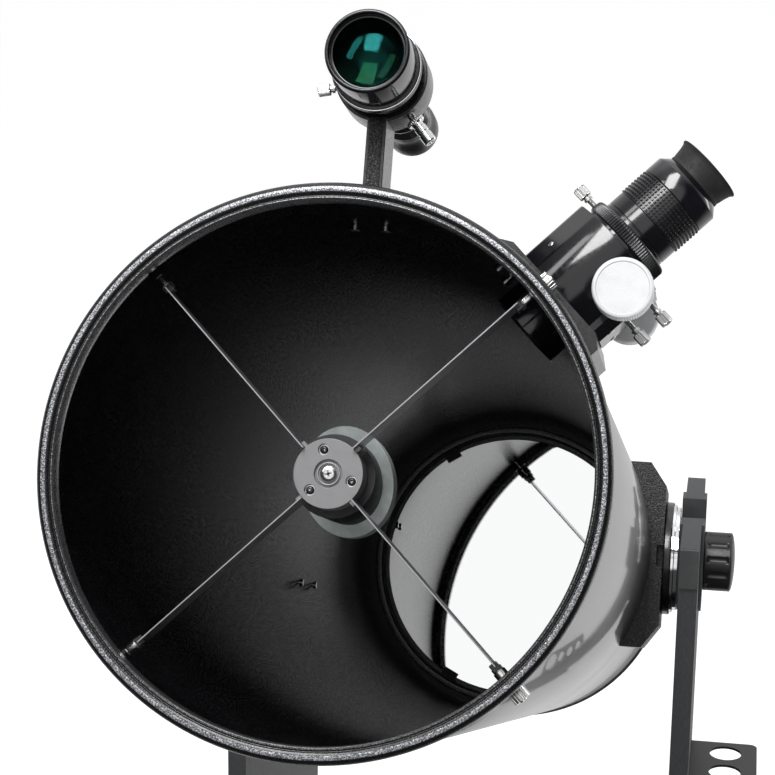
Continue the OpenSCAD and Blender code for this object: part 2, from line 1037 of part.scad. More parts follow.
// a collimation knob with its bolt: the bolt turns in the cell and in the rear ring's spoke
module collimation_knob(angle) {
    color("#1a1b1d")
        on_tube()
            along_tube()
                rotate([0, 0, angle])
                    translate([cell_bolt_r, 0, 0]) {
                        translate([0, 0, mirror_back_s + 5.5])
                            cylinder(r = 3, h = knob_s - mirror_back_s);
                        translate([0, 0, knob_s])
                            disc_with_flutes(13, 16, 10, 4, 1.8);
                    }
}

module fan_frame() {
    bore_r = fan_half - 3;
    color("#141414")
        on_tube()
            along_tube(tube_len + 0.05) {
                difference() {
                    translate([-fan_half, -fan_half, 0])
                        cube([2 * fan_half, 2 * fan_half, fan_t]);
                    translate([0, 0, -through])
                        cylinder(r = bore_r, h = fan_t + 2 * through);
                    for (x = [-1, 1], y = [-1, 1])
                        translate([x * (fan_half - 5), y * (fan_half - 5), -through])
                            cylinder(r = 2.1, h = fan_t + 2 * through, $fn = 24);
                }
                translate([0, 0, fan_t - 3])
                    cylinder(r = 17, h = 3);
                for (a = [45 : 90 : 315])
                    rotate([0, 0, a])
                        translate([15, -2, fan_t - 3])
                            cube([bore_r - 13, 4, 3]);
                translate([0, 0, 4])
                    cylinder(r = 2, h = fan_t - 5, $fn = 24);
            }
}

module fan_rotor() {
    blades = 7;
    color("#1f1f1f")
        on_tube()
            along_tube(tube_len + 1)
                difference() {
                    union() {
                        cylinder(r = 16, h = 10);
                        for (i = [0 : blades - 1])
                            rotate([0, 0, i * 360 / blades])
                                translate([14, 0, 5])
                                    rotate([38, 0, 0])
                                        translate([0, -6, -0.75])
                                            cube([21.5, 12, 1.5]);
                    }
                    translate([0, 0, 2])
                        cylinder(r = 2 + running_fit, h = 10, $fn = 24);
                }
}

// ---------------------------------------------------------------- focuser

module focuser_base() {
    half_t = 49;
    half_s = 52;
    color("#1b1c1e")
        on_tube()
            difference() {
                around(focuser_angle)
                    translate([0, focuser_s + half_s, 0])
                        rotate([90, 0, 0])
                            linear_extrude(2 * half_s)
                                polygon([
                                    [168, -half_t], [180, -half_t], [base_top, -half_t + 9],
                                    [base_top, half_t - 9], [180, half_t], [168, half_t]]);
                along_tube()
                    cylinder(r = tube_r, h = 400, $fn = 128);
                around(focuser_angle)
                    translate([150, focuser_s, 0])
                        rotate([0, 90, 0])
                            cylinder(r = drawtube_r + 1.5, h = 60);
                around(focuser_angle)
                    for (s = base_bolt_ss, t = base_bolt_ts)
                        translate([tube_r - 30, s, t])
                            rotate([0, 90, 0])
                                cylinder(r = bolt_r + bolt_clear, h = 34, $fn = 24);
            }
}

module focuser_housing() {
    flat_w = 16;
    block_half_s = 23;
    color("#151618")
        on_focuser()
            difference() {
                union() {
                    translate([0, 0, base_top])
                        cylinder(r = housing_r, h = housing_top - base_top);
                    translate([10, -block_half_s, base_top])
                        cube([block_face_t - 10, 2 * block_half_s, housing_top - 3 - base_top]);
                }
                translate([0, 0, base_top - through])
                    cylinder(r = drawtube_r + running_fit, h = housing_top - base_top + 2 * through);
                for (side = [-1, 1])
                    rotate([0, 0, 180 + side * 38])
                        translate([housing_r - 1.6, -flat_w / 2, base_top - through])
                            cube([10, flat_w, housing_top - base_top + 2 * through]);
                translate([shaft_t, 0, shaft_z])
                    rotate([90, 0, 0])
                        cylinder(r = shaft_r + running_fit, h = 100, center = true);
                translate([shaft_t, 0, shaft_z])
                    rotate([90, 0, 0])
                        cylinder(r = drive_roller_r + 0.5, h = 12, center = true);
                for (z = [lock_z, tension_z])
                    translate([block_face_t - 5, 0, z])
                        rotate([0, 90, 0])
                            cylinder(r = screw_r + running_fit, h = 10);
            }
}

module focuser_drawtube() {
    color("#1d1e21")
        on_focuser()
            difference() {
                union() {
                    translate([0, 0, drawtube_in])
                        cylinder(r = drawtube_r, h = adapter_z - drawtube_in);
                    translate([0, 0, housing_top + 2 * gap])
                        cylinder(r = adapter_r - 1.5, h = adapter_z - housing_top - 2 * gap);
                }
                translate([0, 0, drawtube_in - through])
                    cylinder(r = barrel_r + running_fit, h = 100);
            }
}

module eyepiece_adapter() {
    color("#1b1c1e")
        on_focuser()
            difference() {
                translate([0, 0, adapter_z])
                    disc_with_flutes(adapter_r, adapter_top - adapter_z, 72, 0.7, 0.4);
                translate([0, 0, adapter_z - through])
                    cylinder(r = barrel_r + running_fit, h = 20);
                translate([-barrel_r, 0, (adapter_z + adapter_top) / 2])
                    rotate([0, -90, 0])
                        cylinder(r = screw_r + running_fit, h = 20);
            }
}

module adapter_thumbscrew() {
    tip = barrel_r + 0.6;
    on_focuser()
        translate([-tip, 0, (adapter_z + adapter_top) / 2])
            rotate([0, -90, 0])
                thumbscrew(48.5 - tip, 8.5);
}

module focus_shaft() {
    color("silver")
        on_focuser()
            translate([shaft_t, 0, shaft_z])
                rotate([90, 0, 0]) {
                    translate([0, 0, -knob_out + 1])
                        cylinder(r = shaft_r, h = 2 * knob_out - 2);
                    translate([0, 0, -5])
                        cylinder(r = drive_roller_r, h = 10);
                    translate([0, 0, -knob_out - 12])
                        cylinder(r = fine_stub_r, h = 14);
                }
}

// one coarse knob along Z: knurled rim with a shallow dished face
module coarse_knob() {
    difference() {
        union() {
            translate([0, 0, 1.2])
                disc_with_flutes(coarse_knob_d / 2, coarse_knob_t - 2.4, 60, 0.8, 0.4);
            cylinder(r = coarse_knob_d / 2 - 1.2, h = coarse_knob_t);
        }
        translate([0, 0, coarse_knob_t - 0.6])
            cylinder(r = coarse_knob_d / 2 - 3, h = 2);
        translate([0, 0, -through])
            cylinder(r = shaft_r + bolt_clear, h = coarse_knob_t - 1 + through);
    }
}

module coarse_knobs() {
    color("whitesmoke")
        on_focuser()
            translate([shaft_t, 0, shaft_z])
                rotate([90, 0, 0]) {
                    translate([0, 0, knob_out - coarse_knob_t])
                        coarse_knob();
                    difference() {
                        mirror([0, 0, 1])
                            translate([0, 0, knob_out - coarse_knob_t])
                                coarse_knob();
                        translate([0, 0, -knob_out - through])
                            cylinder(r = fine_stub_r + bolt_clear, h = 10);
                    }
                }
}

module fine_knob() {
    color("whitesmoke")
        on_focuser()
            translate([shaft_t, 0, shaft_z])
                rotate([-90, 0, 0])
                    translate([0, 0, knob_out + gap])
                        difference() {
                            disc_with_flutes(11, 11, 36, 0.8, 0.4);
                            translate([0, 0, -through])
                                cylinder(r = fine_stub_r + running_fit, h = 14);
                        }
}

module focuser_screw(z) {
    tip = block_face_t - 4;
    on_focuser()
        translate([tip, 0, z])
            rotate([0, 90, 0])
                thumbscrew(60 - tip, 9);
}

module focus_lock_screw() {
    focuser_screw(lock_z);
}

module focus_tension_screw() {
    focuser_screw(tension_z);
}

// ---------------------------------------------------------------- eyepiece

module eyepiece_body() {
    barrel_in = 218;
    bore_r = 20;
    color("#17181a")
        on_focuser()
            rotate_extrude()
                polygon([
                    [bore_r, barrel_in], [barrel_r, barrel_in], [barrel_r, adapter_top + 0.05],
                    [26.3, adapter_top + 0.05], [26.3, 264], [grip_r, 264], [grip_r, 297.5],
                    [21.6, 303], [16, 303], [bore_r, 298]]);
}

module eyepiece_cup() {
    color("#202226")
        on_focuser()
            rotate_extrude()
                polygon([
                    [21, 303.05], [21.4, 308], [22.6, 313], [24.2, 317.5], [22.8, 317.5],
                    [21, 313], [19.6, 308], [19.2, 303.05]]);
}

// ---------------------------------------------------------------- finder

// dovetail section, wide at the foot; X is across the tube, Y is the height
module dovetail(clear) {
    foot_half = 11;
    neck_half = 8;
    foot_z = 183;
    polygon([
        [-foot_half - clear, foot_z - clear], [foot_half + clear, foot_z - clear],
        [neck_half + clear, shoe_top + through], [-neck_half - clear, shoe_top + through]]);
}

module finder_shoe() {
    shoe_half = 18;
    shoe_len = 46;
    color("#141517")
        on_tube()
            difference() {
                translate([-shoe_half, finder_s - shoe_len / 2, tube_r - 4])
                    cube([2 * shoe_half, shoe_len, shoe_top - tube_r + 4]);
                along_tube()
                    cylinder(r = tube_r, h = 400, $fn = 128);
                translate([0, finder_s + shoe_len, 0])
                    rotate([90, 0, 0])
                        linear_extrude(2 * shoe_len)
                            dovetail(0.15);
                for (x = shoe_bolt_xs)
                    translate([x, shoe_bolt_s, tube_r - 20])
                        cylinder(r = bolt_r + bolt_clear, h = 25, $fn = 24);
            }
}

module finder_bracket() {
    hole_r = 2 + running_fit;
    color("#17181a")
        difference() {
            union() {
                on_tube()
                    translate([0, stalk_s + stalk_len, 0])
                        rotate([90, 0, 0])
                            linear_extrude(stalk_len)
                                union() {
                                    dovetail(0);
                                    translate([-stalk_half, shoe_top])
                                        square([2 * stalk_half, finder_z - 29 - shoe_top]);
                                }
                on_finder(finder_s - 16)
                    cylinder(r = finder_ring_r, h = 32);
            }
            on_finder(finder_s - 30)
                cylinder(r = finder_bore_r, h = 60);
            for (a = [thumb_left_angle, thumb_top_angle])
                finder_radial(a)
                    cylinder(r = hole_r, h = 40);
            finder_radial(plunger_angle)
                cylinder(r = 2.6 + running_fit, h = 40);
        }
}

module finder_tube() {
    rear_s = 236;
    color("#17181a")
        on_finder(0)
            rotate_extrude()
                polygon([
                    [finder_tube_r - 2, 82], [finder_tube_r, 82], [finder_tube_r, 121],
                    [finder_bore_r - 0.1, 123], [finder_bore_r - 0.1, 127], [finder_tube_r, 129],
                    [finder_tube_r, 172], [17, 205], [15, 206], [15, rear_s], [13, rear_s],
                    [13, 204], [finder_tube_r - 2, 170]]);
}

module finder_objective_cell() {
    cell_r = 28.4;
    color("#17181a")
        on_finder(0)
            rotate_extrude()
                polygon([
                    [25.2, cell_front_s + 1], [26.2, cell_front_s], [27.4, cell_front_s],
                    [cell_r, cell_front_s + 1], [cell_r, 94], [27.4, 97.8],
                    [finder_tube_r + running_fit, 97.8], [finder_tube_r + running_fit, 80.5],
                    [25.2, 80.5]]);
}

module finder_lens() {
    lens_r = 25.15;
    crown = 3.2;
    steps = 6;
    front = [for (i = [0 : steps])
        let (r = lens_r * i / steps) [r, 67 + crown * pow(r / lens_r, 2)]];
    color("lightblue")
        on_finder(0)
            rotate_extrude()
                polygon(concat(front, [[lens_r, 76], [0, 78]]));
}

module finder_lock_ring() {
    color("#1c1d1f")
        on_finder(lock_ring_s)
            difference() {
                disc_with_flutes(30.6, 8, 90, 0.5, 0.3);
                translate([0, 0, -through])
                    cylinder(r = finder_tube_r + running_fit, h = 12);
            }
}

module finder_eyepiece() {
    color("#121314")
        on_finder(0)
            rotate_extrude()
                polygon([
                    [15.05, 212], [18.6, 214], [18.6, 240], [17.6, 243], [17.6, 262], [19.8, 266],
                    [19.8, 283], [18.6, 284.5], [16, 284.5], [14, 276], [0, 276], [0, 237],
                    [15.05, 237]]);
}

module finder_thumbscrew(angle) {
    finder_radial(angle)
        translate([0, 0, finder_tube_r + 0.3])
            thumbscrew(46.5 - finder_tube_r - 0.3, 9);
}

module finder_thumbscrew_left() {
    finder_thumbscrew(thumb_left_angle);
}

module finder_thumbscrew_top() {
    finder_thumbscrew(thumb_top_angle);
}

module finder_plunger() {
    color("silver")
        finder_radial(plunger_angle) {
            translate([0, 0, finder_tube_r + 0.3])
                cylinder(r = 2.6, h = 30);
            translate([0, 0, 37])
                cylinder(r = 4.6, h = 17.5);
            translate([0, 0, 35])
                disc_with_flutes(6.4, 3, 20, 0.7, 0.4);
        }
}

// ---------------------------------------------------------------- the nodes

ground_board();
ground_feet();
azimuth_lower_race();
azimuth_pivot_bolt();
azimuth_roller_cage();
azimuth_rollers();
azimuth_knob();
rocker_board();
azimuth_upper_race();
side_panel_left();
side_panel_right();
front_panel();
carry_handle();
base_screws();
altitude_cradles();
eyepiece_rack();
altitude_hubs();
altitude_plates();
altitude_races();
altitude_knob_left();
altitude_knob_right();
optical_tube();
front_ring();
rear_ring();
altitude_brackets();
spider_hub();
spider_vanes();
tube_fasteners();
finder_shoe();
focuser_base();
focuser_housing();
mirror_cell();
primary_mirror();
mirror_clips();
collimation_knob(cell_angles[0]);  // collimation_knob_1
collimation_knob(cell_angles[1]);  // collimation_knob_2
collimation_knob(cell_angles[2]);  // collimation_knob_3
fan_frame();
fan_rotor();
secondary_holder();
secondary_mirror();
focuser_drawtube();
eyepiece_adapter();
adapter_thumbscrew();
focus_shaft();
coarse_knobs();
fine_knob();
focus_lock_screw();
focus_tension_screw();
eyepiece_body();
eyepiece_cup();
finder_bracket();
finder_tube();
finder_objective_cell();
finder_lens();
finder_lock_ring();
finder_eyepiece();
finder_thumbscrew_left();
finder_thumbscrew_top();
finder_plunger();
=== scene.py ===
"""Looks of the dobsonian telescope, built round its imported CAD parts.

Shapes are drawn in millimetres in the same local frames as the CAD source: TUBE has X across,
Y from the front rim to the rear end and Z away from the axis on the upper side. piece() brings
them into the world frame in metres.
"""

import math

import bmesh
import bpy
from mathutils import Matrix, Vector


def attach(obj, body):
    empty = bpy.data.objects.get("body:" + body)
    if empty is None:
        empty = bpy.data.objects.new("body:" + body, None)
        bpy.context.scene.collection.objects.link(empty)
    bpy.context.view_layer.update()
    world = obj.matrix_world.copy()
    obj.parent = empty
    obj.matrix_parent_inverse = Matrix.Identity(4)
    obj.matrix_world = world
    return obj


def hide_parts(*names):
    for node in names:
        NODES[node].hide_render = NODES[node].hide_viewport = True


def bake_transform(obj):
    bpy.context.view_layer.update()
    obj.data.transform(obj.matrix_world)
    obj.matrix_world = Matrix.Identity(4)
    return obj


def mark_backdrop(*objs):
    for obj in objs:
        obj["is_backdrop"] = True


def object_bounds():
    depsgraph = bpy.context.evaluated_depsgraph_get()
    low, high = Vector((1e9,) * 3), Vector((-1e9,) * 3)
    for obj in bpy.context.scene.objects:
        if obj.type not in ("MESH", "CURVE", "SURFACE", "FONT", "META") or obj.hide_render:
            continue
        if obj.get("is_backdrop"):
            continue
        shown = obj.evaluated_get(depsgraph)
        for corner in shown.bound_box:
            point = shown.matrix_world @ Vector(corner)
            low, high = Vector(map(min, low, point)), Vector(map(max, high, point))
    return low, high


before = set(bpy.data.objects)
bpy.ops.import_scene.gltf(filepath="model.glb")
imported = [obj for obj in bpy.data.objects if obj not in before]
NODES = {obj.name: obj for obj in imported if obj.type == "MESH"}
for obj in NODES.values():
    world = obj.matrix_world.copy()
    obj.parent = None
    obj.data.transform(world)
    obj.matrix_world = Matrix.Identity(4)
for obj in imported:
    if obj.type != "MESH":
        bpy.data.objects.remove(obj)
cad_low, cad_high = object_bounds()
IDENTITY = Matrix.Identity(4)


# ---- frames


def turn(degrees, axis):
    return Matrix.Rotation(math.radians(degrees), 4, axis)


def move(x=0, y=0, z=0):
    return Matrix.Translation((x, y, z))


ALTITUDE = 22.5  # elevation of the tube at rest, degrees
AXIS_S = 900  # the altitude axis crosses the tube this far behind its front rim
PIVOT = move(0, -28, 700)
WORLD = Matrix.Scale(0.001, 4)
TUBE = WORLD @ PIVOT @ turn(-ALTITUDE, "X") @ move(0, -AXIS_S, 0)
AXIS = TUBE @ turn(-90, "X")
MIRROR_X = Matrix.Scale(-1, 4, (1, 0, 0))


def around(angle):
    """Frame on the tube axis with +X outwards at that angle."""
    return TUBE @ turn(-angle, "Y")


FOCUSER_S = 122
FOCUSER = around(45) @ move(0, FOCUSER_S, 0) @ turn(90, "Y")
FINDER_S, FINDER_H = 138, 280  # middle of the finder's ring: along the tube, above its axis
FINDER = TUBE @ move(0, 0, FINDER_H) @ turn(-90, "X")
TILT = WORLD @ PIVOT @ turn(-ALTITUDE, "X") @ turn(90, "Y")


def finder_radial(angle):
    return TUBE @ move(0, FINDER_S, FINDER_H) @ turn(90 - angle, "Y")


# ---- mesh building


def circle(r, n=64, cx=0.0, cy=0.0, start=0.0):
    return [
        (cx + r * math.cos(start + 2 * math.pi * i / n), cy + r * math.sin(start + 2 * math.pi * i / n))
        for i in range(n)
    ]


def soften(points, radius, steps=3):
    """A closed outline with every corner rounded by about radius. Points on the axis stay."""
    out = []
    n = len(points)
    for i, p in enumerate(points):
        a, b = Vector(points[i - 1]), Vector(points[(i + 1) % n])
        p = Vector(p)
        if p.x < 1e-6:
            out.append(tuple(p))
            continue
        da, db = a - p, b - p
        if da.length < 1e-6 or db.length < 1e-6:
            continue
        cut = min(radius, 0.42 * da.length, 0.42 * db.length)
        u, v = p + da.normalized() * cut, p + db.normalized() * cut
        for k in range(steps + 1):
            t = k / steps
            q = u * (1 - t) ** 2 + p * 2 * t * (1 - t) + v * t * t
            out.append(tuple(q))
    return out


def revolve(profile, segs=96, radial=None):
    """A closed (r, z) profile turned round Z. radial(r, z, angle) may change the radius."""
    verts, faces, rings = [], [], []
    for r, z in profile:
        if r < 1e-6:
            rings.append([len(verts)] * segs)
            verts.append((0.0, 0.0, z))
            continue
        rings.append(list(range(len(verts), len(verts) + segs)))
        for i in range(segs):
            a = 2 * math.pi * i / segs
            q = radial(r, z, a) if radial else r
            verts.append((q * math.cos(a), q * math.sin(a), z))
    for low, high in zip(rings, rings[1:] + rings[:1]):
        for i in range(segs):
            j = (i + 1) % segs
            face = list(dict.fromkeys([low[i], low[j], high[j], high[i]]))
            if len(face) > 2:
                faces.append(face)
    return verts, faces


def box(low, high):
    x0, y0, z0 = low
    x1, y1, z1 = high
    verts = [(x, y, z) for z in (z0, z1) for y in (y0, y1) for x in (x0, x1)]
    faces = [(0, 2, 3, 1), (4, 5, 7, 6), (0, 1, 5, 4), (2, 6, 7, 3), (0, 4, 6, 2), (1, 3, 7, 5)]
    return verts, faces


def plate(outer, holes, z0, z1):
    """A flat plate between z0 and z1 with through holes; outer and holes are 2-D outlines."""
    bm = bmesh.new()
    loops = []
    for outline in [outer] + list(holes):
        low = [bm.verts.new((x, y, z0)) for x, y in outline]
        high = [bm.verts.new((x, y, z1)) for x, y in outline]
        n = len(outline)
        loops.append(
            [[bm.edges.new((ring[i], ring[(i + 1) % n])) for i in range(n)] for ring in (low, high)]
        )
        for i in range(n):
            j = (i + 1) % n
            bm.faces.new((low[i], low[j], high[j], high[i]))
    for side in (0, 1):
        bmesh.ops.triangle_fill(
            bm, use_beauty=True, use_dissolve=False, edges=[e for loop in loops for e in loop[side]]
        )
    bm.verts.index_update()
    verts = [v.co[:] for v in bm.verts]
    faces = [tuple(v.index for v in f.verts) for f in bm.faces]
    bm.free()
    return verts, faces


def sweep(path, r, sides=12, closed=False):
    """A round bar along a list of points."""
    path = [Vector(p) for p in path]
    n = len(path)
    verts, faces = [], []
    normal = None
    for i, p in enumerate(path):
        ahead = path[(i + 1) % n] if closed or i < n - 1 else p
        behind = path[i - 1] if closed or i > 0 else p
        along = (ahead - behind).normalized()
        if normal is None:
            normal = along.orthogonal().normalized()
        normal = (normal - along * normal.dot(along)).normalized()
        other = along.cross(normal)
        for k in range(sides):
            a = 2 * math.pi * k / sides
            verts.append(tuple(p + (normal * math.cos(a) + other * math.sin(a)) * r))
    spans = n if closed else n - 1
    for i in range(spans):
        for k in range(sides):
            a, b = i * sides + k, i * sides + (k + 1) % sides
            c, d = ((i + 1) % n) * sides + (k + 1) % sides, ((i + 1) % n) * sides + k
            faces.append((a, b, c, d))
    if not closed:
        faces.append(tuple(range(sides - 1, -1, -1)))
        faces.append(tuple(range((n - 1) * sides, n * sides)))
    return verts, faces


def helix(r, z0, z1, turns, wire, steps=20):
    """A compression spring along Z."""
    count = int(turns * steps)
    path = []
    for i in range(count + 1):
        a = 2 * math.pi * i / steps
        path.append((r * math.cos(a), r * math.sin(a), z0 + (z1 - z0) * i / count))
    return sweep(path, wire, 8)


class Shape:
    """Meshes collected in one piece."""

    def __init__(self):
        self.verts, self.faces = [], []

    def add(self, mesh, matrix=IDENTITY):
        verts, faces = mesh
        base = len(self.verts)
        self.verts += [matrix @ Vector(v) for v in verts]
        self.faces += [[base + i for i in f] for f in faces]
        return self


def spun(profile, segs=96, radial=None):
    return Shape().add(revolve(profile, segs, radial))


BEVEL_STEPS = 2


def finish_object(obj, bevel, sharp):
    for p in obj.data.polygons:
        p.use_smooth = True
    obj.data.set_sharp_from_angle(angle=math.radians(sharp))
    if bevel:
        m = obj.modifiers.new("edges", "BEVEL")
        m.width = bevel / 1000
        m.segments = BEVEL_STEPS
        m.limit_method = "ANGLE"
        m.angle_limit = math.radians(sharp)
        m.harden_normals = True
        m.use_clamp_overlap = True


def piece(name, shape, matrix, body, look, replaces=(), bevel=0.0, sharp=32):
    """Makes a mesh piece in the world frame; it moves with a CAD body, if one is named.

    look is a key of LOOK; replaces lists the CAD nodes that the piece stands in for.
    """
    mesh = bpy.data.meshes.new(name)
    mesh.from_pydata([(matrix @ v)[:] for v in shape.verts], [], shape.faces)
    bm = bmesh.new()
    bm.from_mesh(mesh)
    bmesh.ops.recalc_face_normals(bm, faces=bm.faces)
    bm.to_mesh(mesh)
    bm.free()
    obj = bpy.data.objects.new(name, mesh)
    bpy.context.scene.collection.objects.link(obj)
    mesh.materials.append(LOOK[look])
    finish_object(obj, bevel, sharp)
    if body:
        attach(obj, body)
    if replaces:
        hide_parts(*replaces)
    return obj


def dress(node, look, bevel=0.6, sharp=32):
    """Gives a carried-over CAD node its material and soft edges."""
    obj = NODES[node]
    obj.data.materials.clear()
    obj.data.materials.append(LOOK[look])
    if "custom_normal" in obj.data.attributes:
        obj.data.attributes.remove(obj.data.attributes["custom_normal"])
    for p in obj.data.polygons:
        p.material_index = 0
    merge = obj.modifiers.new("weld", "WELD")
    merge.merge_threshold = 0.00001
    finish_object(obj, bevel, sharp)
    return obj


# ---- materials


class Look:
    """A node material with a Principled shader, and short names for the usual nodes."""

    def __init__(self, name, color, rough=0.5, metal=0.0, coat=0.0, coat_rough=0.05, specular=0.5):
        self.mat = bpy.data.materials.new(name)
        self.mat.use_nodes = True
        self.tree = self.mat.node_tree
        self.tree.nodes.clear()
        self.out = self.new("ShaderNodeOutputMaterial")
        self.bsdf = self.new("ShaderNodeBsdfPrincipled")
        self.tree.links.new(self.bsdf.outputs[0], self.out.inputs[0])
        self.coords = self.new("ShaderNodeTexCoord").outputs["Object"]
        self.normal = None
        self.color = self.rgb(color)
        self.rough = rough
        self.set("Metallic", metal)
        self.set("Coat Weight", coat)
        self.set("Coat Roughness", coat_rough)
        self.set("Specular IOR Level", specular)
        self.set("Base Color", self.color)
        self.set("Roughness", rough)

    def new(self, kind, **props):
        node = self.tree.nodes.new(kind)
        for key, value in props.items():
            setattr(node, key, value)
        return node

    def wire(self, socket, value):
        if isinstance(value, bpy.types.NodeSocket):
            self.tree.links.new(value, socket)
        else:
            socket.default_value = value

    def set(self, name, value):
        self.wire(self.bsdf.inputs[name], value)

    @staticmethod
    def rgb(color):
        return (*color, 1.0) if isinstance(color, tuple) and len(color) == 3 else color

    def math(self, op, a, b=0.0, clamp=False):
        node = self.new("ShaderNodeMath", operation=op, use_clamp=clamp)
        self.wire(node.inputs[0], a)
        self.wire(node.inputs[1], b)
        return node.outputs[0]

    def noise(self, per_m, detail=3.0, rough=0.5, stretch=(1, 1, 1), vector=None):
        """Noise with that many features per metre."""
        mapping = self.new("ShaderNodeMapping")
        mapping.inputs["Scale"].default_value = stretch
        self.wire(mapping.inputs["Vector"], vector or self.coords)
        node = self.new("ShaderNodeTexNoise")
        self.wire(node.inputs["Vector"], mapping.outputs[0])
        node.inputs["Scale"].default_value = per_m
        node.inputs["Detail"].default_value = detail
        node.inputs["Roughness"].default_value = rough
        return node.outputs["Fac"]

    def cells(self, per_m, feature="F1", vector=None):
        node = self.new("ShaderNodeTexVoronoi", feature=feature)
        self.wire(node.inputs["Vector"], vector or self.coords)
        node.inputs["Scale"].default_value = per_m
        return node.outputs["Distance"]

    def ramp(self, value, low, high, out_low=0.0, out_high=1.0):
        node = self.new("ShaderNodeMapRange", interpolation_type="SMOOTHSTEP")
        for i, v in enumerate((value, low, high, out_low, out_high)):
            self.wire(node.inputs[i], v)
        return node.outputs[0]

    def mix(self, share, a, b):
        node = self.new("ShaderNodeMix", data_type="RGBA")
        self.wire(node.inputs[0], share)
        self.wire(node.inputs[6], self.rgb(a))
        self.wire(node.inputs[7], self.rgb(b))
        return node.outputs[2]

    def tint(self, share, color):
        """Blends the base colour towards another one."""
        self.color = self.mix(share, self.color, color)
        self.set("Base Color", self.color)
        return self

    def roughness(self, value, low, high):
        self.set("Roughness", self.ramp(value, 0.3, 0.7, low, high))
        return self

    def bump(self, height, depth_mm, strength=1.0):
        node = self.new("ShaderNodeBump")
        node.inputs["Strength"].default_value = strength
        node.inputs["Distance"].default_value = depth_mm / 1000
        self.wire(node.inputs["Height"], height)
        if self.normal is not None:
            self.tree.links.new(self.normal, node.inputs["Normal"])
        self.normal = node.outputs[0]
        self.set("Normal", self.normal)
        return self

    def worn_edges(self, color, radius_mm=0.8, amount=0.6):
        """Lightens convex edges, broken up by noise."""
        bevel = self.new("ShaderNodeBevel", samples=4)
        bevel.inputs["Radius"].default_value = radius_mm / 1000
        geometry = self.new("ShaderNodeNewGeometry")
        dot = self.new("ShaderNodeVectorMath", operation="DOT_PRODUCT")
        self.tree.links.new(bevel.outputs[0], dot.inputs[0])
        self.tree.links.new(geometry.outputs["Normal"], dot.inputs[1])
        edge = self.ramp(dot.outputs["Value"], 0.99, 0.90)
        patchy = self.ramp(self.noise(260, 4), 0.42, 0.62)
        return self.tint(self.math("MULTIPLY", self.math("MULTIPLY", edge, patchy), amount), color)

    def vector(self, op, a, b):
        node = self.new("ShaderNodeVectorMath", operation=op)
        self.wire(node.inputs[0], a)
        self.wire(node.inputs[1], b)
        return node

    def tube_radius(self):
        """Distance from the tube axis, in metres."""
        along = (TUBE.to_3x3() @ Vector((0, 1, 0))).normalized()
        origin = TUBE @ Vector((0, 0, 0))
        p = self.vector("SUBTRACT", self.coords, origin[:]).outputs[0]
        cross = self.vector("CROSS_PRODUCT", p, along[:]).outputs[0]
        return self.vector("LENGTH", cross, (0, 0, 0)).outputs["Value"]

    def local(self, matrix, axis):
        """A local coordinate in mm: how far a point is along an axis of a local frame."""
        m = matrix.to_3x3()
        direction = (m @ Vector(axis)).normalized()
        origin = matrix @ Vector((0, 0, 0))
        dot = self.vector("DOT_PRODUCT", self.coords, direction[:]).outputs["Value"]
        shifted = self.math("SUBTRACT", dot, direction.dot(origin))
        return self.math("MULTIPLY", shifted, 1000.0)


def smooth_black(name, rough=0.13, color=(0.003, 0.003, 0.0045), specular=0.45):
    """Polished black anodised metal: faint turning marks and dust in the gloss."""
    k = Look(name, color, rough, 0.0, coat=0.35, coat_rough=0.06, specular=specular)
    k.tint(k.ramp(k.noise(60, 4), 0.35, 0.8, 0.0, 0.5), tuple(2 * c for c in color))
    k.roughness(k.noise(420, 3), rough * 0.8, rough * 1.35)
    k.bump(k.noise(1400, 2), 0.003)
    k.worn_edges((0.06, 0.06, 0.065), 0.4, 0.4)
    return k.mat


def textured_black(name, depth=0.10, per_m=950, rough=0.36, color=(0.010, 0.010, 0.011)):
    """Crinkle-finish black paint."""
    k = Look(name, color, rough, 0.0, specular=0.55)
    grain = k.noise(per_m, 2, 0.6)
    k.tint(k.ramp(grain, 0.45, 0.75), tuple(3 * c for c in color))
    k.roughness(grain, rough * 0.8, rough * 1.3)
    k.bump(k.ramp(grain, 0.35, 0.68), depth)
    return k.mat


def bright_metal(name, color=(0.80, 0.80, 0.79), rough=0.16, grain=1600):
    """Plated or polished steel with fine turning marks."""
    k = Look(name, color, rough, 1.0)
    marks = k.noise(grain, 2, 0.6)
    k.tint(k.ramp(k.noise(180, 4), 0.4, 0.75, 0.0, 0.5), tuple(0.72 * c for c in color))
    k.roughness(marks, rough * 0.7, rough * 1.5)
    k.bump(marks, 0.006)
    return k.mat


def satin_metal(name, color, rough, metal):
    """Anodised or painted metal with a fine silky grain."""
    k = Look(name, color, rough, metal, specular=0.5)
    marks = k.noise(2400, 2, 0.6)
    k.tint(k.ramp(k.noise(120, 4), 0.4, 0.75, 0.0, 0.4), tuple(0.8 * c for c in color))
    k.roughness(marks, rough * 0.8, rough * 1.3)
    k.bump(marks, 0.006)
    return k.mat


def plastic(name, color, rough=0.42, lift=1.8, grain=1800, depth=0.02):
    """Moulded plastic with a fine spark-eroded grain."""
    k = Look(name, color, rough, 0.0, specular=0.45)
    k.tint(k.ramp(k.noise(45, 5), 0.4, 0.8, 0.0, 0.6), tuple(lift * c for c in color))
    k.roughness(k.noise(300, 3), rough * 0.85, rough * 1.2)
    k.bump(k.noise(grain, 2), depth)
    k.worn_edges(tuple(5 * c + 0.02 for c in color), 0.6, 0.35)
    return k.mat


def rubber(name, color=(0.014, 0.014, 0.015)):
    k = Look(name, color, 0.62, 0.0, specular=0.35)
    k.tint(k.ramp(k.noise(90, 5, 0.6), 0.4, 0.75, 0.0, 0.7), tuple(2.2 * c for c in color))
    k.roughness(k.noise(500, 3), 0.5, 0.75)
    k.bump(k.noise(2200, 3), 0.02)
    return k.mat


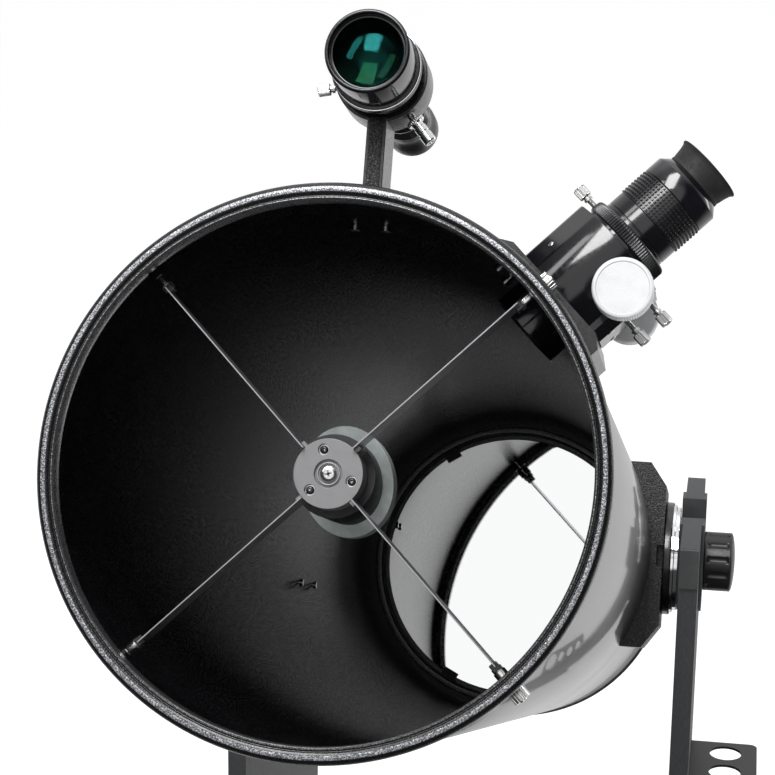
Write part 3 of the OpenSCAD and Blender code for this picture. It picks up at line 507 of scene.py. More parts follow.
def laminate(name, color):
    """Dark laminate with a short, fine, slightly woven grain."""
    k = Look(name, color, 0.46, 0.0, specular=0.35)
    along = k.noise(900, 4, 0.6, (1, 1, 0.12))
    across = k.noise(1300, 3, 0.5, (0.2, 0.2, 1))
    grain = k.math("ADD", k.math("MULTIPLY", along, 0.6), k.math("MULTIPLY", across, 0.4))
    k.tint(k.ramp(grain, 0.42, 0.62, 0.0, 0.55), tuple(1.7 * c for c in color))
    k.tint(k.ramp(k.noise(6, 4), 0.4, 0.75, 0.0, 0.35), tuple(0.7 * c for c in color))
    k.roughness(grain, 0.38, 0.56)
    k.bump(grain, 0.035)
    k.worn_edges(tuple(2.6 * c for c in color), 0.7, 0.4)
    return k.mat


WALL_MIDDLE = (0.17735, 0.17755)  # metres from the axis, between the tube's two faces


def tube_paint():
    """Gloss dark metallic lacquer outside, flat black inside: split by the distance from the axis."""
    k = Look("tube_paint", (0.010, 0.011, 0.014), 0.2, 0.0)
    outside = k.ramp(k.tube_radius(), *WALL_MIDDLE)
    flakes = k.ramp(k.cells(5200), 0.0, 0.5)
    outer = k.mix(flakes, (0.045, 0.047, 0.055), (0.012, 0.013, 0.017))
    inner = k.mix(k.ramp(k.noise(35, 5), 0.35, 0.75), (0.0035, 0.0035, 0.0042), (0.006, 0.006, 0.007))
    k.set("Base Color", k.mix(outside, inner, outer))
    k.set("Metallic", k.math("MULTIPLY", outside, 0.12))
    k.set("Coat Weight", k.math("MULTIPLY", outside, 0.6))
    k.set("Coat Roughness", k.ramp(k.noise(14, 4), 0.3, 0.7, 0.04, 0.10))
    inner_rough = k.ramp(k.noise(700, 3), 0.3, 0.7, 0.25, 0.31)
    node = k.new("ShaderNodeMix", data_type="FLOAT")
    k.wire(node.inputs[0], outside)
    k.wire(node.inputs[2], inner_rough)
    node.inputs[3].default_value = 0.28
    k.set("Roughness", node.outputs[0])
    k.set("Specular IOR Level", k.math("ADD", 0.14, k.math("MULTIPLY", outside, 0.36)))
    k.bump(k.noise(55, 2), 0.02)
    k.bump(k.noise(2400, 2), 0.006)
    return k.mat


def hammered(name, color=(0.055, 0.057, 0.062), metal=0.75, rough=0.27, depth=0.20):
    """Hammer-finish paint: lumps about a millimetre wide; the ripple's high parts are painted lighter, a
    painted highlight on the crests.
    """
    k = Look(name, color, rough, metal, coat=0.4, coat_rough=0.12)
    lumps = k.cells(820, "SMOOTH_F1")
    ripple = k.noise(1100, 3, 0.65)
    height = k.math("ADD", k.math("MULTIPLY", lumps, 0.8), k.math("MULTIPLY", ripple, 0.7))
    # painted highlight: the crests of the ripple are lightened
    k.tint(k.ramp(ripple, 0.50, 0.66), tuple(min(1.0, 4 * c) for c in color))
    k.roughness(ripple, rough * 0.7, rough * 1.5)
    k.bump(height, depth)
    return k.mat


LIP_HIGHLIGHT = (0.1699, 0.1712, (0.42, 0.42, 0.44))  # painted highlight on the lip's edge: from and to, in metres from the axis, and colour
# painted highlight along the rounded crest, given the same way
CREST_HIGHLIGHT = (0.1740, 0.1774, (0.50, 0.51, 0.54))


def ring_paint():
    """Hammered black front ring, coloured by distance from the axis: painted light turns the inner wall
    grey, painted highlights with glints brighten the lip's edge and the crest, black outside.
    """
    k = Look("front_ring_paint", (0.008, 0.008, 0.009), 0.2, 0.45, coat=0.4, coat_rough=0.12)
    ripple = k.noise(1100, 3, 0.65)
    # painted glints: the ripple's high parts, which break up the painted highlights
    painted_glint = k.ramp(ripple, 0.42, 0.66, 0.12, 1.0)
    r = k.tube_radius()
    # painted light: the inner wall inside the lip is painted grey for its lit look
    k.tint(k.ramp(r, 0.1697, 0.1692), (0.085, 0.085, 0.09))
    # painted highlights: the lip's edge and the crest are lightened, broken up by the painted glints
    for low, high, color in (LIP_HIGHLIGHT, CREST_HIGHLIGHT):
        band = k.math("MULTIPLY", k.ramp(r, low, low + 0.0006), k.ramp(r, high, high - 0.0006))
        k.tint(k.math("MULTIPLY", band, painted_glint), color)
    k.roughness(ripple, 0.16, 0.34)
    lumps = k.cells(820, "SMOOTH_F1")
    k.bump(k.math("ADD", k.math("MULTIPLY", lumps, 0.8), k.math("MULTIPLY", ripple, 0.7)), 0.30)
    return k.mat


def ground_glass():
    """Edge and back of a mirror: fine-ground, pale grey-green; the front face is aluminised."""
    k = Look("secondary_glass", (0.46, 0.51, 0.50), 0.55, 0.0, specular=0.4)
    k.tint(k.ramp(k.noise(160, 4), 0.35, 0.75), (0.58, 0.62, 0.61))
    face = k.local(around(45) @ move(0, FOCUSER_S, 0) @ turn(45, "Z"), (1, 0, 0))
    mirror = k.ramp(face, -0.12, -0.05)
    k.set("Base Color", k.mix(mirror, k.color, (0.90, 0.91, 0.92)))
    k.set("Metallic", mirror)
    k.set("Roughness", k.ramp(mirror, 0.0, 1.0, 0.55, 0.02))
    k.bump(k.noise(2600, 3), 0.004)
    return k.mat


COAT_END = (1366.5, 1366.3)  # mm along the tube, just behind the rim of the concave face
COAT_RIM = (0.15190, 0.15180)  # metres from the axis


def mirror_glass():
    """Primary mirror: aluminised concave front, ground glass edge and back."""
    k = Look("primary_glass", (0.30, 0.345, 0.34), 0.5, 0.0, specular=0.4)
    s = k.local(AXIS, (0, 0, 1))
    coated = k.math("MULTIPLY", k.ramp(s, *COAT_END), k.ramp(k.tube_radius(), *COAT_RIM))
    k.set("Base Color", k.mix(coated, (0.30, 0.345, 0.34), (0.93, 0.935, 0.94)))
    k.set("Metallic", coated)
    dust = k.ramp(k.noise(900, 4, 0.7), 0.55, 0.8, 0.0, 0.012)
    k.set("Roughness", k.math("ADD", k.ramp(coated, 0.0, 1.0, 0.5, 0.008), dust))
    return k.mat


def coated_lens(name, tint, specular=0.5, base=(0.001, 0.002, 0.002)):
    """Dark glass whose coating reflects in one tint."""
    k = Look(name, base, 0.015, 0.0, specular=specular)
    k.set("Specular Tint", (*tint, 1.0))
    k.set("IOR", 1.55)
    k.set("Roughness", k.ramp(k.noise(500, 4, 0.7), 0.5, 0.8, 0.003, 0.008))
    glow = k.mix(k.ramp(k.noise(30, 2), 0.3, 0.7), base, tuple(min(1.0, b * 1.5) for b in base))
    k.set("Base Color", glow)
    return k.mat


def clear_lens(name, tint, low=0.009, high=0.2):
    """Front lens: lets the dark barrel show through and mirrors the lights in the coating's tint."""
    k = Look(name, (0.0, 0.0, 0.0), 0.01)
    clear = k.new("ShaderNodeBsdfTransparent")
    clear.inputs[0].default_value = (0.93, 0.97, 0.96, 1.0)
    gloss = k.new("ShaderNodeBsdfGlossy")
    gloss.inputs["Color"].default_value = (*tint, 1.0)
    k.wire(gloss.inputs["Roughness"], k.ramp(k.noise(420, 4, 0.7), 0.5, 0.8, 0.003, 0.008))
    layer = k.new("ShaderNodeLayerWeight")
    layer.inputs["Blend"].default_value = 0.18
    blend = k.new("ShaderNodeMixShader")
    share = k.ramp(layer.outputs["Fresnel"], 0.0, 1.0, low, high)
    k.wire(blend.inputs[0], share)
    k.tree.links.new(clear.outputs[0], blend.inputs[1])
    k.tree.links.new(gloss.outputs[0], blend.inputs[2])
    k.tree.links.new(blend.outputs[0], k.out.inputs[0])
    return k.mat


LOOK = {
    "tube": tube_paint(),
    "ring": ring_paint(),
    "rear_ring": hammered("rear_ring_paint", (0.030, 0.031, 0.034), 0.6, 0.3, 0.16),
    "gloss": smooth_black("gloss_anodised"),
    "satin": smooth_black("satin_anodised", 0.28, (0.006, 0.006, 0.0075)),
    "crinkle": textured_black("crinkle_paint", 0.22, 700, 0.27, (0.0025, 0.0025, 0.003)),
    # the mirror cell's paint is lifted from black to grey, painted light that makes up for the shade it
    # sits in at the back of the tube
    "cell": hammered("mirror_cell_paint", (0.11, 0.11, 0.12), 0.4, 0.34, 0.14),
    "rack": textured_black("powder_coat", 0.03, 1500, 0.42, (0.006, 0.006, 0.0065)),
    "bright": bright_metal("bright_steel"),
    "chrome": bright_metal("polished_chrome", (0.86, 0.87, 0.88), 0.07),
    "race": bright_metal("brushed_race", (0.62, 0.63, 0.64), 0.28),
    "white_knob": satin_metal("silver_knob", (0.60, 0.61, 0.62), 0.32, 0.15),
    "hub": satin_metal("hub_aluminium", (0.20, 0.20, 0.205), 0.42, 0.45),
    "vane": satin_metal("vane_steel", (0.34, 0.34, 0.36), 0.30, 0.8),
    "knob": plastic("knob_plastic", (0.0085, 0.0085, 0.009), 0.34),
    "plastic": plastic("black_plastic", (0.010, 0.010, 0.011), 0.45),
    "holder": plastic("secondary_holder_plastic", (0.012, 0.0125, 0.014), 0.5, 2.0),
    "cradle": plastic("cradle_plastic", (0.045, 0.046, 0.048), 0.5),
    "nylon": plastic("nylon", (0.62, 0.61, 0.56), 0.5, 0.8),
    "rubber": rubber("rubber"),
    "panel": laminate("panel_laminate", (0.036, 0.037, 0.039)),
    "board": laminate("board_laminate", (0.028, 0.029, 0.031)),
    "black_screw": bright_metal("black_screw", (0.05, 0.05, 0.055), 0.3),
    "secondary": ground_glass(),
    "mirror": mirror_glass(),
    "lens_front": clear_lens("objective_front", (0.10, 0.95, 0.95)),
    "lens_back": coated_lens("objective_back", (0.10, 0.90, 0.40), 0.085),
    "eye_lens": coated_lens("eye_lens", (0.35, 0.25, 0.80)),
}


# ---- carried-over CAD nodes

CARRIED = {
    "ground_board": ("board", 1.2),
    "ground_feet": ("rubber", 1.5),
    "azimuth_lower_race": ("race", 0.2),
    "azimuth_pivot_bolt": ("bright", 0.4),
    "azimuth_roller_cage": ("nylon", 0.3),
    "azimuth_rollers": ("race", 0.2),
    "azimuth_knob": ("knob", 1.0),
    "rocker_board": ("board", 1.2),
    "azimuth_upper_race": ("race", 0.2),
    "side_panel_left": ("panel", 0.9),
    "side_panel_right": ("panel", 0.9),
    "front_panel": ("panel", 0.9),
    "base_screws": ("black_screw", 0.3),
    "altitude_cradles": ("cradle", 0.5),
    "eyepiece_rack": ("rack", 0.4),
    "altitude_hubs": ("plastic", 0.5),
    "altitude_brackets": ("crinkle", 2.2),
    "spider_vanes": ("vane", 0.12),
    "tube_fasteners": ("bright", 0.25),
    "finder_shoe": ("satin", 0.6),
    "focuser_base": ("satin", 0.8),
    "mirror_cell": ("cell", 0.6),
    "mirror_clips": ("plastic", 0.5),
    "rear_ring": ("rear_ring", 0.8),
    "fan_frame": ("plastic", 0.5),
    "fan_rotor": ("plastic", 0.3),
    "secondary_holder": ("holder", 0.5),
    "secondary_mirror": ("secondary", 0.5),
    "focus_shaft": ("bright", 0.2),
    "collimation_knob_1": ("knob", 0.8),
    "collimation_knob_2": ("knob", 0.8),
    "collimation_knob_3": ("knob", 0.8),
}
for node, (look, edge) in CARRIED.items():
    dress(node, look, edge)


# ---- tube and end rings

TUBE_R, TUBE_IR, TUBE_LEN = 178.0, 177.0, 1426
RING_R, LIP_R = 180.5, 169.0

tube_wall = soften([(TUBE_R, 4), (TUBE_R, TUBE_LEN - 4), (TUBE_IR, TUBE_LEN - 4), (TUBE_IR, 4)], 0.2)
piece("tube_wall", spun(tube_wall, 256), AXIS, "optical_tube", "tube", ["optical_tube"])


def ring_profile():
    """Rolled rim: flat inner lip, a groove, and a rounded crest that turns over the tube's edge."""
    crest = [
        (175.4 + 5.1 * math.sin(math.radians(a)), 5.1 - 5.1 * math.cos(math.radians(a)))
        for a in range(-34, 91, 6)
    ]
    inner = [
        (TUBE_IR, 14), (LIP_R, 14), (LIP_R, 1.6), (LIP_R + 0.5, 0.9), (LIP_R + 1.6, 0.7),
        (LIP_R + 2.0, 1.6), (LIP_R + 3.0, 1.8),
    ]
    return inner + crest + [
        (RING_R, 13), (RING_R - 1, 14), (TUBE_R + 0.05, 14), (TUBE_R + 0.05, 3.9), (TUBE_IR, 3.9)
    ]


piece(
    "front_rim", spun(soften(ring_profile(), 0.4, 2), 288), AXIS, "optical_tube", "ring",
    ["front_ring"], sharp=50,
)


# ---- screws and thumbscrews


def cross(r, w):
    """Outline of a cross-shaped recess."""
    return [
        (r, -w), (r, w), (w, w), (w, r), (-w, r), (-w, w), (-r, w), (-r, -w), (-w, -w), (-w, -r),
        (w, -r), (w, -w),
    ]


def pan_head(r, h):
    """A screw head with its top at z = h and a cross recess cut into it."""
    shape = Shape()
    dome = [
        (r * math.cos(math.radians(a)), h * 0.45 + h * 0.55 * math.sin(math.radians(a)))
        for a in range(0, 61, 12)
    ]
    top_r = dome[-1][0]
    side = [(r * 0.5, 0), (r, 0)] + dome + [
        (top_r * 0.98, dome[-1][1]), (top_r * 0.98, h * 0.3), (r * 0.5, h * 0.3)
    ]
    shape.add(revolve(side, 40))
    shape.add(plate(circle(top_r * 0.985, 40), [cross(r * 0.48, r * 0.12)], h * 0.3, dome[-1][1]))
    return shape


def join(target, other, matrix=IDENTITY):
    return target.add((other.verts, other.faces), matrix)


def knurl(teeth, depth, low, high):
    """Radial function for straight knurling between two heights."""

    def radial(r, z, a):
        if z < low or z > high:
            return r
        return r - depth * (0.5 + 0.5 * math.cos(teeth * a))

    return radial


def thumbscrew(length, head_len, r=2.0, head_r=4.4, teeth=22):
    """Knurled thumbscrew along Z: threaded shank, collar, waist and a bevelled head."""
    base = length - head_len
    shank = []
    z = 0.3
    while z < base - 3.2:
        shank += [(r * 0.86, z), (r, z + 0.35)]
        z += 0.7
    profile = [(0, 0)] + shank + [(r * 0.9, base - 3)]
    profile += [(r + 1.05, base - 2.8), (r + 1.15, base - 1.2), (r + 0.4, base - 0.9), (r + 0.4, base)]
    k0, k1 = base + 0.8, length - 0.8
    profile += [(head_r - 0.9, base), (head_r - 0.1, base + 0.6), (head_r, k0)]
    profile += [(head_r, k0 + (k1 - k0) * i / 6) for i in range(1, 7)]
    profile += [
        (head_r - 0.1, length - 0.5), (head_r - 0.8, length), (head_r - 1.6, length),
        (head_r - 1.9, length - 0.35), (0, length - 0.35),
    ]
    return spun(profile, teeth * 5, knurl(teeth, 0.38, k0 - 0.01, k1 + 0.01))


TIP = 26.0
piece(
    "adapter_screw", thumbscrew(48.5 - TIP, 8.5), FOCUSER @ move(-TIP, 0, 245) @ turn(-90, "Y"),
    "adapter_thumbscrew", "bright", ["adapter_thumbscrew"],
)
for name, z in (("lock", 228.5), ("tension", 209.5)):
    piece(
        f"{name}_screw", thumbscrew(23, 9), FOCUSER @ move(37, 0, z) @ turn(90, "Y"),
        f"focus_{name}_screw", "bright", [f"focus_{name}_screw"],
    )
for name, angle in (("left", 190.5), ("top", 112)):
    piece(
        f"finder_screw_{name}", thumbscrew(22.2, 9), finder_radial(angle) @ move(0, 0, 24.3),
        f"finder_thumbscrew_{name}", "bright", [f"finder_thumbscrew_{name}"],
    )

# spring plunger of the finder: a bright barrel with a knurled collar at its foot
plunger = spun([(0, 24.3), (2.2, 24.3), (2.6, 25.2), (2.6, 37), (0, 37)], 32)
plunger.add(
    revolve(
        [(0, 35), (5.8, 35), (6.4, 35.5), (6.4, 36.4), (6.4, 37.4), (5.8, 38), (0, 38)], 120,
        knurl(24, 0.45, 35.4, 37.5),
    )
)
barrel = [
    (0, 37.8), (3.9, 37.8), (3.9, 41), (4.4, 41.5), (4.4, 45.5), (4.0, 46), (4.0, 47), (4.6, 47.6),
    (4.6, 53.6), (4.0, 54.5), (2.4, 54.5), (2.2, 53.6), (0, 53.6),
]
plunger.add(revolve(barrel, 48))
piece(
    "finder_spring_plunger", plunger, finder_radial(-49.5), "finder_plunger", "chrome", ["finder_plunger"]
)


# ---- spider hub

HUB_R, HUB_FRONT, HUB_BACK = 22.3, 33, 51
SET_ANGLES = (15, 135, 255)
SET_R = 15.6
VANE_ANGLES = (45, 135, 225, 315)
VANE_BOLT_S = 39
holes = [
    circle(3.45, 32, SET_R * math.cos(math.radians(a)), SET_R * math.sin(math.radians(a)))
    for a in SET_ANGLES
]
hub = Shape()
hub.add(plate(circle(HUB_R, 128), [circle(9, 64)] + holes, HUB_FRONT, HUB_FRONT + 2.5))
hub.add(plate(circle(HUB_R - 0.02, 128), [circle(3.05, 32)] + holes, HUB_FRONT + 2.5, HUB_BACK))
for a in VANE_ANGLES:
    hub.add(box((18.3, -0.4, HUB_FRONT + 1), (26.3, 2.0, HUB_FRONT + 17)), turn(a, "Z"))
piece("spider_hub_disc", hub, AXIS, "optical_tube", "hub", ["spider_hub"], bevel=0.35)

ring_step = soften([(6.6, 33.9), (7.4, 33.9), (7.4, 35.4), (6.6, 35.4)], 0.2)
piece("hub_washer", spun(ring_step, 64), AXIS, "optical_tube", "vane")
head = join(Shape(), pan_head(5.3, 3.0), move(z=35.5) @ turn(180, "X") @ turn(12, "Z"))
piece("hub_centre_screw", head, AXIS, "optical_tube", "bright")
# painted shade: dark slabs at the bottom of the centre screw's cross recess stand in for the shade inside
# it
recess_shade = Shape()
for angle in (57, 147):
    recess_shade.add(box((-2.45, -0.58, 34.3), (2.45, 0.58, 34.65)), turn(angle, "Z"))
piece("hub_screw_recess_shade", recess_shade, AXIS, "optical_tube", "black_screw")
tilt = Shape()
for a in SET_ANGLES:
    join(tilt, pan_head(2.7, 2.0), turn(a, "Z") @ move(SET_R, 0, 36.2) @ turn(180, "X") @ turn(25, "Z"))
piece("hub_tilt_screw_heads", tilt, AXIS, "optical_tube", "black_screw")

# vane ends: a bright sleeve on the bolt and a small dark clamp on the vane
sleeve = [
    (3.0, 163), (4.0, 163), (4.3, 163.4), (4.3, 168.6), (4.0, 169), (4.0, 169.8), (4.3, 170.2),
    (4.3, 175.8), (4.0, 176.2), (3.0, 176.2),
]
sleeves, clamps = Shape(), Shape()
for a in VANE_ANGLES:
    at = turn(-a, "Y") @ move(0, VANE_BOLT_S, 0) @ turn(90, "Y")
    sleeves.add(revolve(sleeve, 40), at)
    clamps.add(box((-2.8, -3.8, 156.8), (2.8, 3.8, 162.6)), at)
piece("vane_sleeves", sleeves, TUBE, "optical_tube", "bright")
piece("vane_clamps", clamps, TUBE, "optical_tube", "satin", bevel=0.6)


# ---- primary mirror

MIRROR_R, MIRROR_T, MIRROR_S, FOCAL = 152.5, 36, 1359, 1500.0
edge_depth = (MIRROR_R - 1) ** 2 / (4 * FOCAL)
radii = [(MIRROR_R - 1) * i / 48 for i in range(49)]
face = [(r, edge_depth - r ** 2 / (4 * FOCAL)) for r in radii]
disc = face + [(MIRROR_R, 1), (MIRROR_R, MIRROR_T - 0.6), (MIRROR_R - 0.6, MIRROR_T), (0, MIRROR_T)]
piece(
    "mirror_disc", spun(disc, 256), AXIS @ move(z=MIRROR_S), "mirror_cell", "mirror",
    ["primary_mirror"], sharp=25,
)


# hammered lip that fills the gap between the cell's wall and the tube
lip_low, lip_high = 1342, 1347
cell_lip = soften(
    [
        (157.55, lip_high), (157.55, lip_low + 1.5), (159, lip_low), (164.5, lip_low),
        (165.5, lip_low + 1), (165.5, lip_high),
    ],
    0.4,
)
piece("mirror_cell_lip", spun(cell_lip, 256), AXIS, "mirror_cell", "cell", sharp=40)


# ---- focuser

HOUSING_R, HOUSING_LOW, HOUSING_TOP = 37.5, 186.0, 238.0
FLATS = (142.0, 218.0)


def with_flats(distance, angles):
    def radial(r, z, a):
        if r < distance:
            return r
        for flat in angles:
            c = math.cos(a - math.radians(flat))
            if c > 0 and distance / c < r:
                return distance / c
        return r

    return radial


barrel = soften(
    [(27.08, HOUSING_LOW), (HOUSING_R, HOUSING_LOW), (HOUSING_R, HOUSING_TOP), (27.08, HOUSING_TOP)], 0.7
)
housing = spun(barrel, 288, with_flats(35.9, FLATS))
block = [(22, -23), (34, -23), (41, -16), (41, 16), (34, 23), (22, 23)]
housing.add(plate(block, [], HOUSING_LOW + 0.1, HOUSING_TOP - 3))
piece("focuser_barrel", housing, FOCUSER, "optical_tube", "gloss", ["focuser_housing"], bevel=0.5, sharp=28)

# two small grub screws in the flats
grubs = Shape()
for angle, z in ((142, 222), (218, 205)):
    join(grubs, pan_head(2.0, 1.1), turn(angle, "Z") @ move(35.4, 0, z) @ turn(90, "Y"))
join(grubs, pan_head(2.2, 1.2), move(40.6, 14, 196) @ turn(90, "Y"))
join(grubs, pan_head(2.2, 1.2), move(40.6, -14, 196) @ turn(90, "Y"))
piece("focuser_grub_screws", grubs, FOCUSER, "optical_tube", "bright")

tube_profile = [
    (25.48, 154.5), (26.6, 154.5), (27, 154.9), (27, 238.4), (30, 238.4), (30, 240.4), (25.48, 240.4)
]
piece(
    "draw_tube", spun(tube_profile, 192, with_flats(26.75, (0.0,))), FOCUSER, "drawtube", "gloss",
    ["focuser_drawtube"], sharp=25,
)

lip = [
    (25.48, 240.4), (30.2, 240.4), (31.2, 241.3)
] + [(31.5, 241.6 + 0.9 * i) for i in range(8)] + [(30.9, 249.0), (30.2, 249.6), (25.48, 249.6)]
piece(
    "adapter_ring", spun(lip, 768, knurl(96, 0.85, 241.5, 248.0)), FOCUSER, "drawtube", "satin",
    ["eyepiece_adapter"], sharp=40,
)


def round_knob(r, t, teeth, dish=0.6):
    """A flat knob along Z from 0 to t with a knurled rim and a shallow dished face."""
    rim = [(r, 1.4 + (t - 2.8) * i / 6) for i in range(7)]
    profile = [(0, 0), (r - 1.2, 0), (r - 0.2, 1.0)] + rim
    profile += [
        (r - 0.2, t - 1.0), (r - 0.9, t - 0.2), (r - 1.6, t), (r - 2.6, t), (r - 3.1, t - dish),
        (0, t - dish * 1.4),
    ]
    return revolve(profile, teeth * 4, knurl(teeth, 0.4, 1.39, t - 1.39))


shaft = FOCUSER @ move(31, 0, 217.5) @ turn(90, "X")
knobs = Shape().add(round_knob(20, 14, 72), move(z=48)).add(
    round_knob(20, 14, 72), turn(180, "X") @ move(z=48)
)
for side in (1, -1):
    knobs.add(
        revolve([(3.1, 38), (5.2, 38), (5.2, 48.2), (3.1, 48.2)], 40),
        IDENTITY if side > 0 else turn(180, "X"),
    )
piece("coarse_focus_knobs", knobs, shaft, "focus_shaft", "white_knob", ["coarse_knobs"], sharp=30)
piece(
    "fine_focus_knob", Shape().add(round_knob(11, 11, 44, 0.4), move(z=62.2)),
    shaft @ turn(180, "X"), "fine_knob", "white_knob", ["fine_knob"], sharp=30,
)


# ---- eyepiece


def stud_band(r, low, high, rows, studs, rise):
    """Grip band of small square studs."""
    per_row, per_stud = 6, 6
    count = rows * per_row
    heights = [low + (high - low) * i / count for i in range(count + 1)]

    def pulse(x):
        return max(0.0, min(1.0, 0.5 + 1.5 * math.cos(2 * math.pi * x)))

    def radial(q, z, a):
        if z <= low or z >= high:
            return q
        return q + rise * pulse((z - low) / (high - low) * rows - 0.5) * pulse(a / (2 * math.pi) * studs)

    profile = [(r - 1.2, low)] + [(r, z) for z in heights] + [(r - 1.2, high)]
    return revolve(profile, studs * per_stud, radial)


body = [
    (20, 218.2), (20.4, 218), (25.0, 218), (25.4, 218.4), (25.4, 249.65), (26.0, 249.65),
    (26.3, 250), (26.3, 252.2), (25.9, 252.5), (25.9, 253.1), (26.3, 253.4),
]
body += [
    (26.3, 263.4), (25.4, 264), (25.4, 285), (26.4, 285.2), (26.8, 285.6), (26.8, 297.2),
    (26.5, 297.8), (21.9, 302.7), (21.2, 303), (16, 303), (16, 298), (20, 297),
]
piece(
    "eyepiece_barrel", spun(body, 160), FOCUSER, "eyepiece", "gloss", ["eyepiece_body"], bevel=0.2, sharp=30
)
piece(
    "eyepiece_grip", Shape().add(stud_band(25.9, 264.1, 284.9, 8, 64, 1.15)), FOCUSER, "eyepiece",
    "satin", sharp=60,
)
cup = [
    (19.4, 303.05), (21.4, 303.05), (21.5, 305), (21.1, 305.4), (21.6, 308), (22.2, 311.5),
    (22.9, 314.5), (23.8, 316.6), (24.6, 317.2), (24.5, 318.0), (23.6, 318.1),
]
cup += [(22.4, 316.4), (21.2, 313), (20.2, 308.5), (19.4, 305)]
piece(
    "eyepiece_eyecup", spun(soften(cup, 0.3), 160), FOCUSER, "eyepiece", "rubber", ["eyepiece_cup"],
    sharp=50,
)


def lens(r, low, high, bulge_low, bulge_high):
    """A lens along Z; a positive bulge swells that face outwards."""
    steps = 10
    bottom = [(r * i / steps, low + bulge_low * (i / steps) ** 2) for i in range(steps + 1)]
    top = [
        (r * (steps - i) / steps, high - bulge_high * ((steps - i) / steps) ** 2)
        for i in range(steps + 1)
    ]
    return revolve(bottom + top, 96)


piece("eyepiece_eye_lens", Shape().add(lens(15.9, 297.5, 302, 0, 1.2)), FOCUSER, "eyepiece", "eye_lens")
piece("eyepiece_field_lens", Shape().add(lens(19.8, 221, 226, 1.5, 0)), FOCUSER, "eyepiece", "eye_lens")


# ---- finder

tube_line = [
    (22, 82), (24, 82), (24, 121), (27.4, 122.4), (27.4, 127.6), (24, 129), (24, 172), (17, 205),
    (15, 206), (15, 236), (13, 236), (13, 204), (22, 170),
]
piece("finder_body", spun(soften(tube_line, 0.6), 160), FINDER, "finder", "satin", ["finder_tube"])

cell = [
    (25.2, 59.2), (26.0, 58.0), (27.2, 58), (28.4, 59.4), (28.4, 92.6), (28.0, 93.0), (28.0, 93.6),
    (28.4, 94.0), (28.2, 95.4), (27.4, 97.8), (24.08, 97.8), (24.08, 80.5), (25.2, 80.5),
]
piece(
    "objective_cell", spun(soften(cell, 0.25), 192), FINDER, "finder_objective", "gloss",
    ["finder_objective_cell"],
)
retainer = soften([(23.6, 63.2), (25.15, 63.2), (25.15, 66.2), (23.9, 66.2)], 0.3)
piece("objective_retainer", spun(retainer, 160), FINDER, "finder_objective", "gloss")


def cap(r, z, bulge, thickness):
    """A thin meniscus: r wide, its middle at z, its edge bulge further along Z."""
    steps = 24
    front = [(r * i / steps, z + bulge * (i / steps) ** 2) for i in range(steps + 1)]
    back = [(q, h + thickness) for q, h in reversed(front)]
    return revolve(front + back, 160)


piece(
    "objective_front_lens", Shape().add(cap(25.1, 65.4, 7.0, 0.6)), FINDER, "finder_objective",
    "lens_front", ["finder_lens"], sharp=60,
)
piece(
    "objective_rear_lens", Shape().add(cap(25.1, 82.4, -7.0, 0.4)), FINDER, "finder_objective",
    "lens_back", sharp=60,
)

ring = [
    (24.08, 98.0), (29.2, 98.0), (30.2, 98.5), (30.6, 98.9)
] + [(30.6, 99.4 + i) for i in range(6)] + [(30.4, 105.2), (29.8, 106), (24.08, 106)]
piece(
    "objective_lock_ring", spun(ring, 600, knurl(120, 0.32, 99.3, 104.5)), FINDER,
    "finder_lock_ring", "satin", ["finder_lock_ring"], sharp=40,
)
bright_edge = soften([(29.6, 98.35), (30.5, 98.5), (30.72, 98.75), (30.5, 98.95), (29.6, 98.8)], 0.08)
piece("lock_ring_edge", spun(bright_edge, 192), FINDER, "finder_lock_ring", "chrome")

holder = Shape()
holder.add(
    revolve(
        soften([(27.5, 122), (31.4, 122), (32, 122.6), (32, 153.4), (31.4, 154), (27.5, 154)], 0.8), 160
    )
)
piece("finder_holder_ring", holder, FINDER, "finder", "satin", ["finder_bracket"])
stalk = Shape()
stalk.add(plate([(-6.7, 119), (6.7, 119), (6.7, 157), (-6.7, 157)], [], 190.6, 251))
foot = Shape().add(plate([(-11, 183), (11, 183), (8.05, 192), (-8.05, 192)], [], -157, -119), turn(90, "X"))
join(stalk, foot)
piece("finder_stalk", stalk, TUBE, "finder", "satin", bevel=0.7)


def crinkle_panel(width, low, high, y, depth):
    """A thin panel with a lumpy face towards -Y; its lumps are real relief."""
    nx, nz = 26, int((high - low) * 26 / width)
    verts, faces = [], []
    for j in range(nz + 1):
        for i in range(nx + 1):
            edge = min(i, nx - i, j, nz - j) == 0
            lump = 0.5 + 0.5 * math.sin(
                i * 2.399 + 3.1 * math.sin(j * 1.713)
            ) * math.cos(j * 2.117 + 2.3 * math.cos(i * 1.37))
            verts.append(
                (
                    -width / 2 + width * i / nx, y + (0.3 if edge else -depth * lump),
                    low + (high - low) * j / nz,
                )
            )
    for j in range(nz):
        for i in range(nx):
            a = j * (nx + 1) + i
            faces.append((a, a + 1, a + nx + 2, a + nx + 1))
    back = len(verts)
    verts += [
        (-width / 2, y + 0.6, low), (width / 2, y + 0.6, low), (width / 2, y + 0.6, high),
        (-width / 2, y + 0.6, high),
    ]
    rows = nx + 1
    bottom = list(range(rows))
    top = [nz * rows + i for i in range(rows)]
    left = [j * rows for j in range(nz + 1)]
    right = [j * rows + nx for j in range(nz + 1)]
    faces.append(tuple(reversed(bottom)) + (back, back + 1))
    faces.append(tuple(top) + (back + 2, back + 3))
    faces.append(tuple(left) + (back + 3, back))
    faces.append(tuple(reversed(right)) + (back + 1, back + 2))
    faces.append((back, back + 3, back + 2, back + 1))
    return verts, faces


piece(
    "finder_stalk_panel", Shape().add(crinkle_panel(9.4, 194, 248, 118.9, 0.6)), TUBE, "finder",
    "crinkle", sharp=60,
)

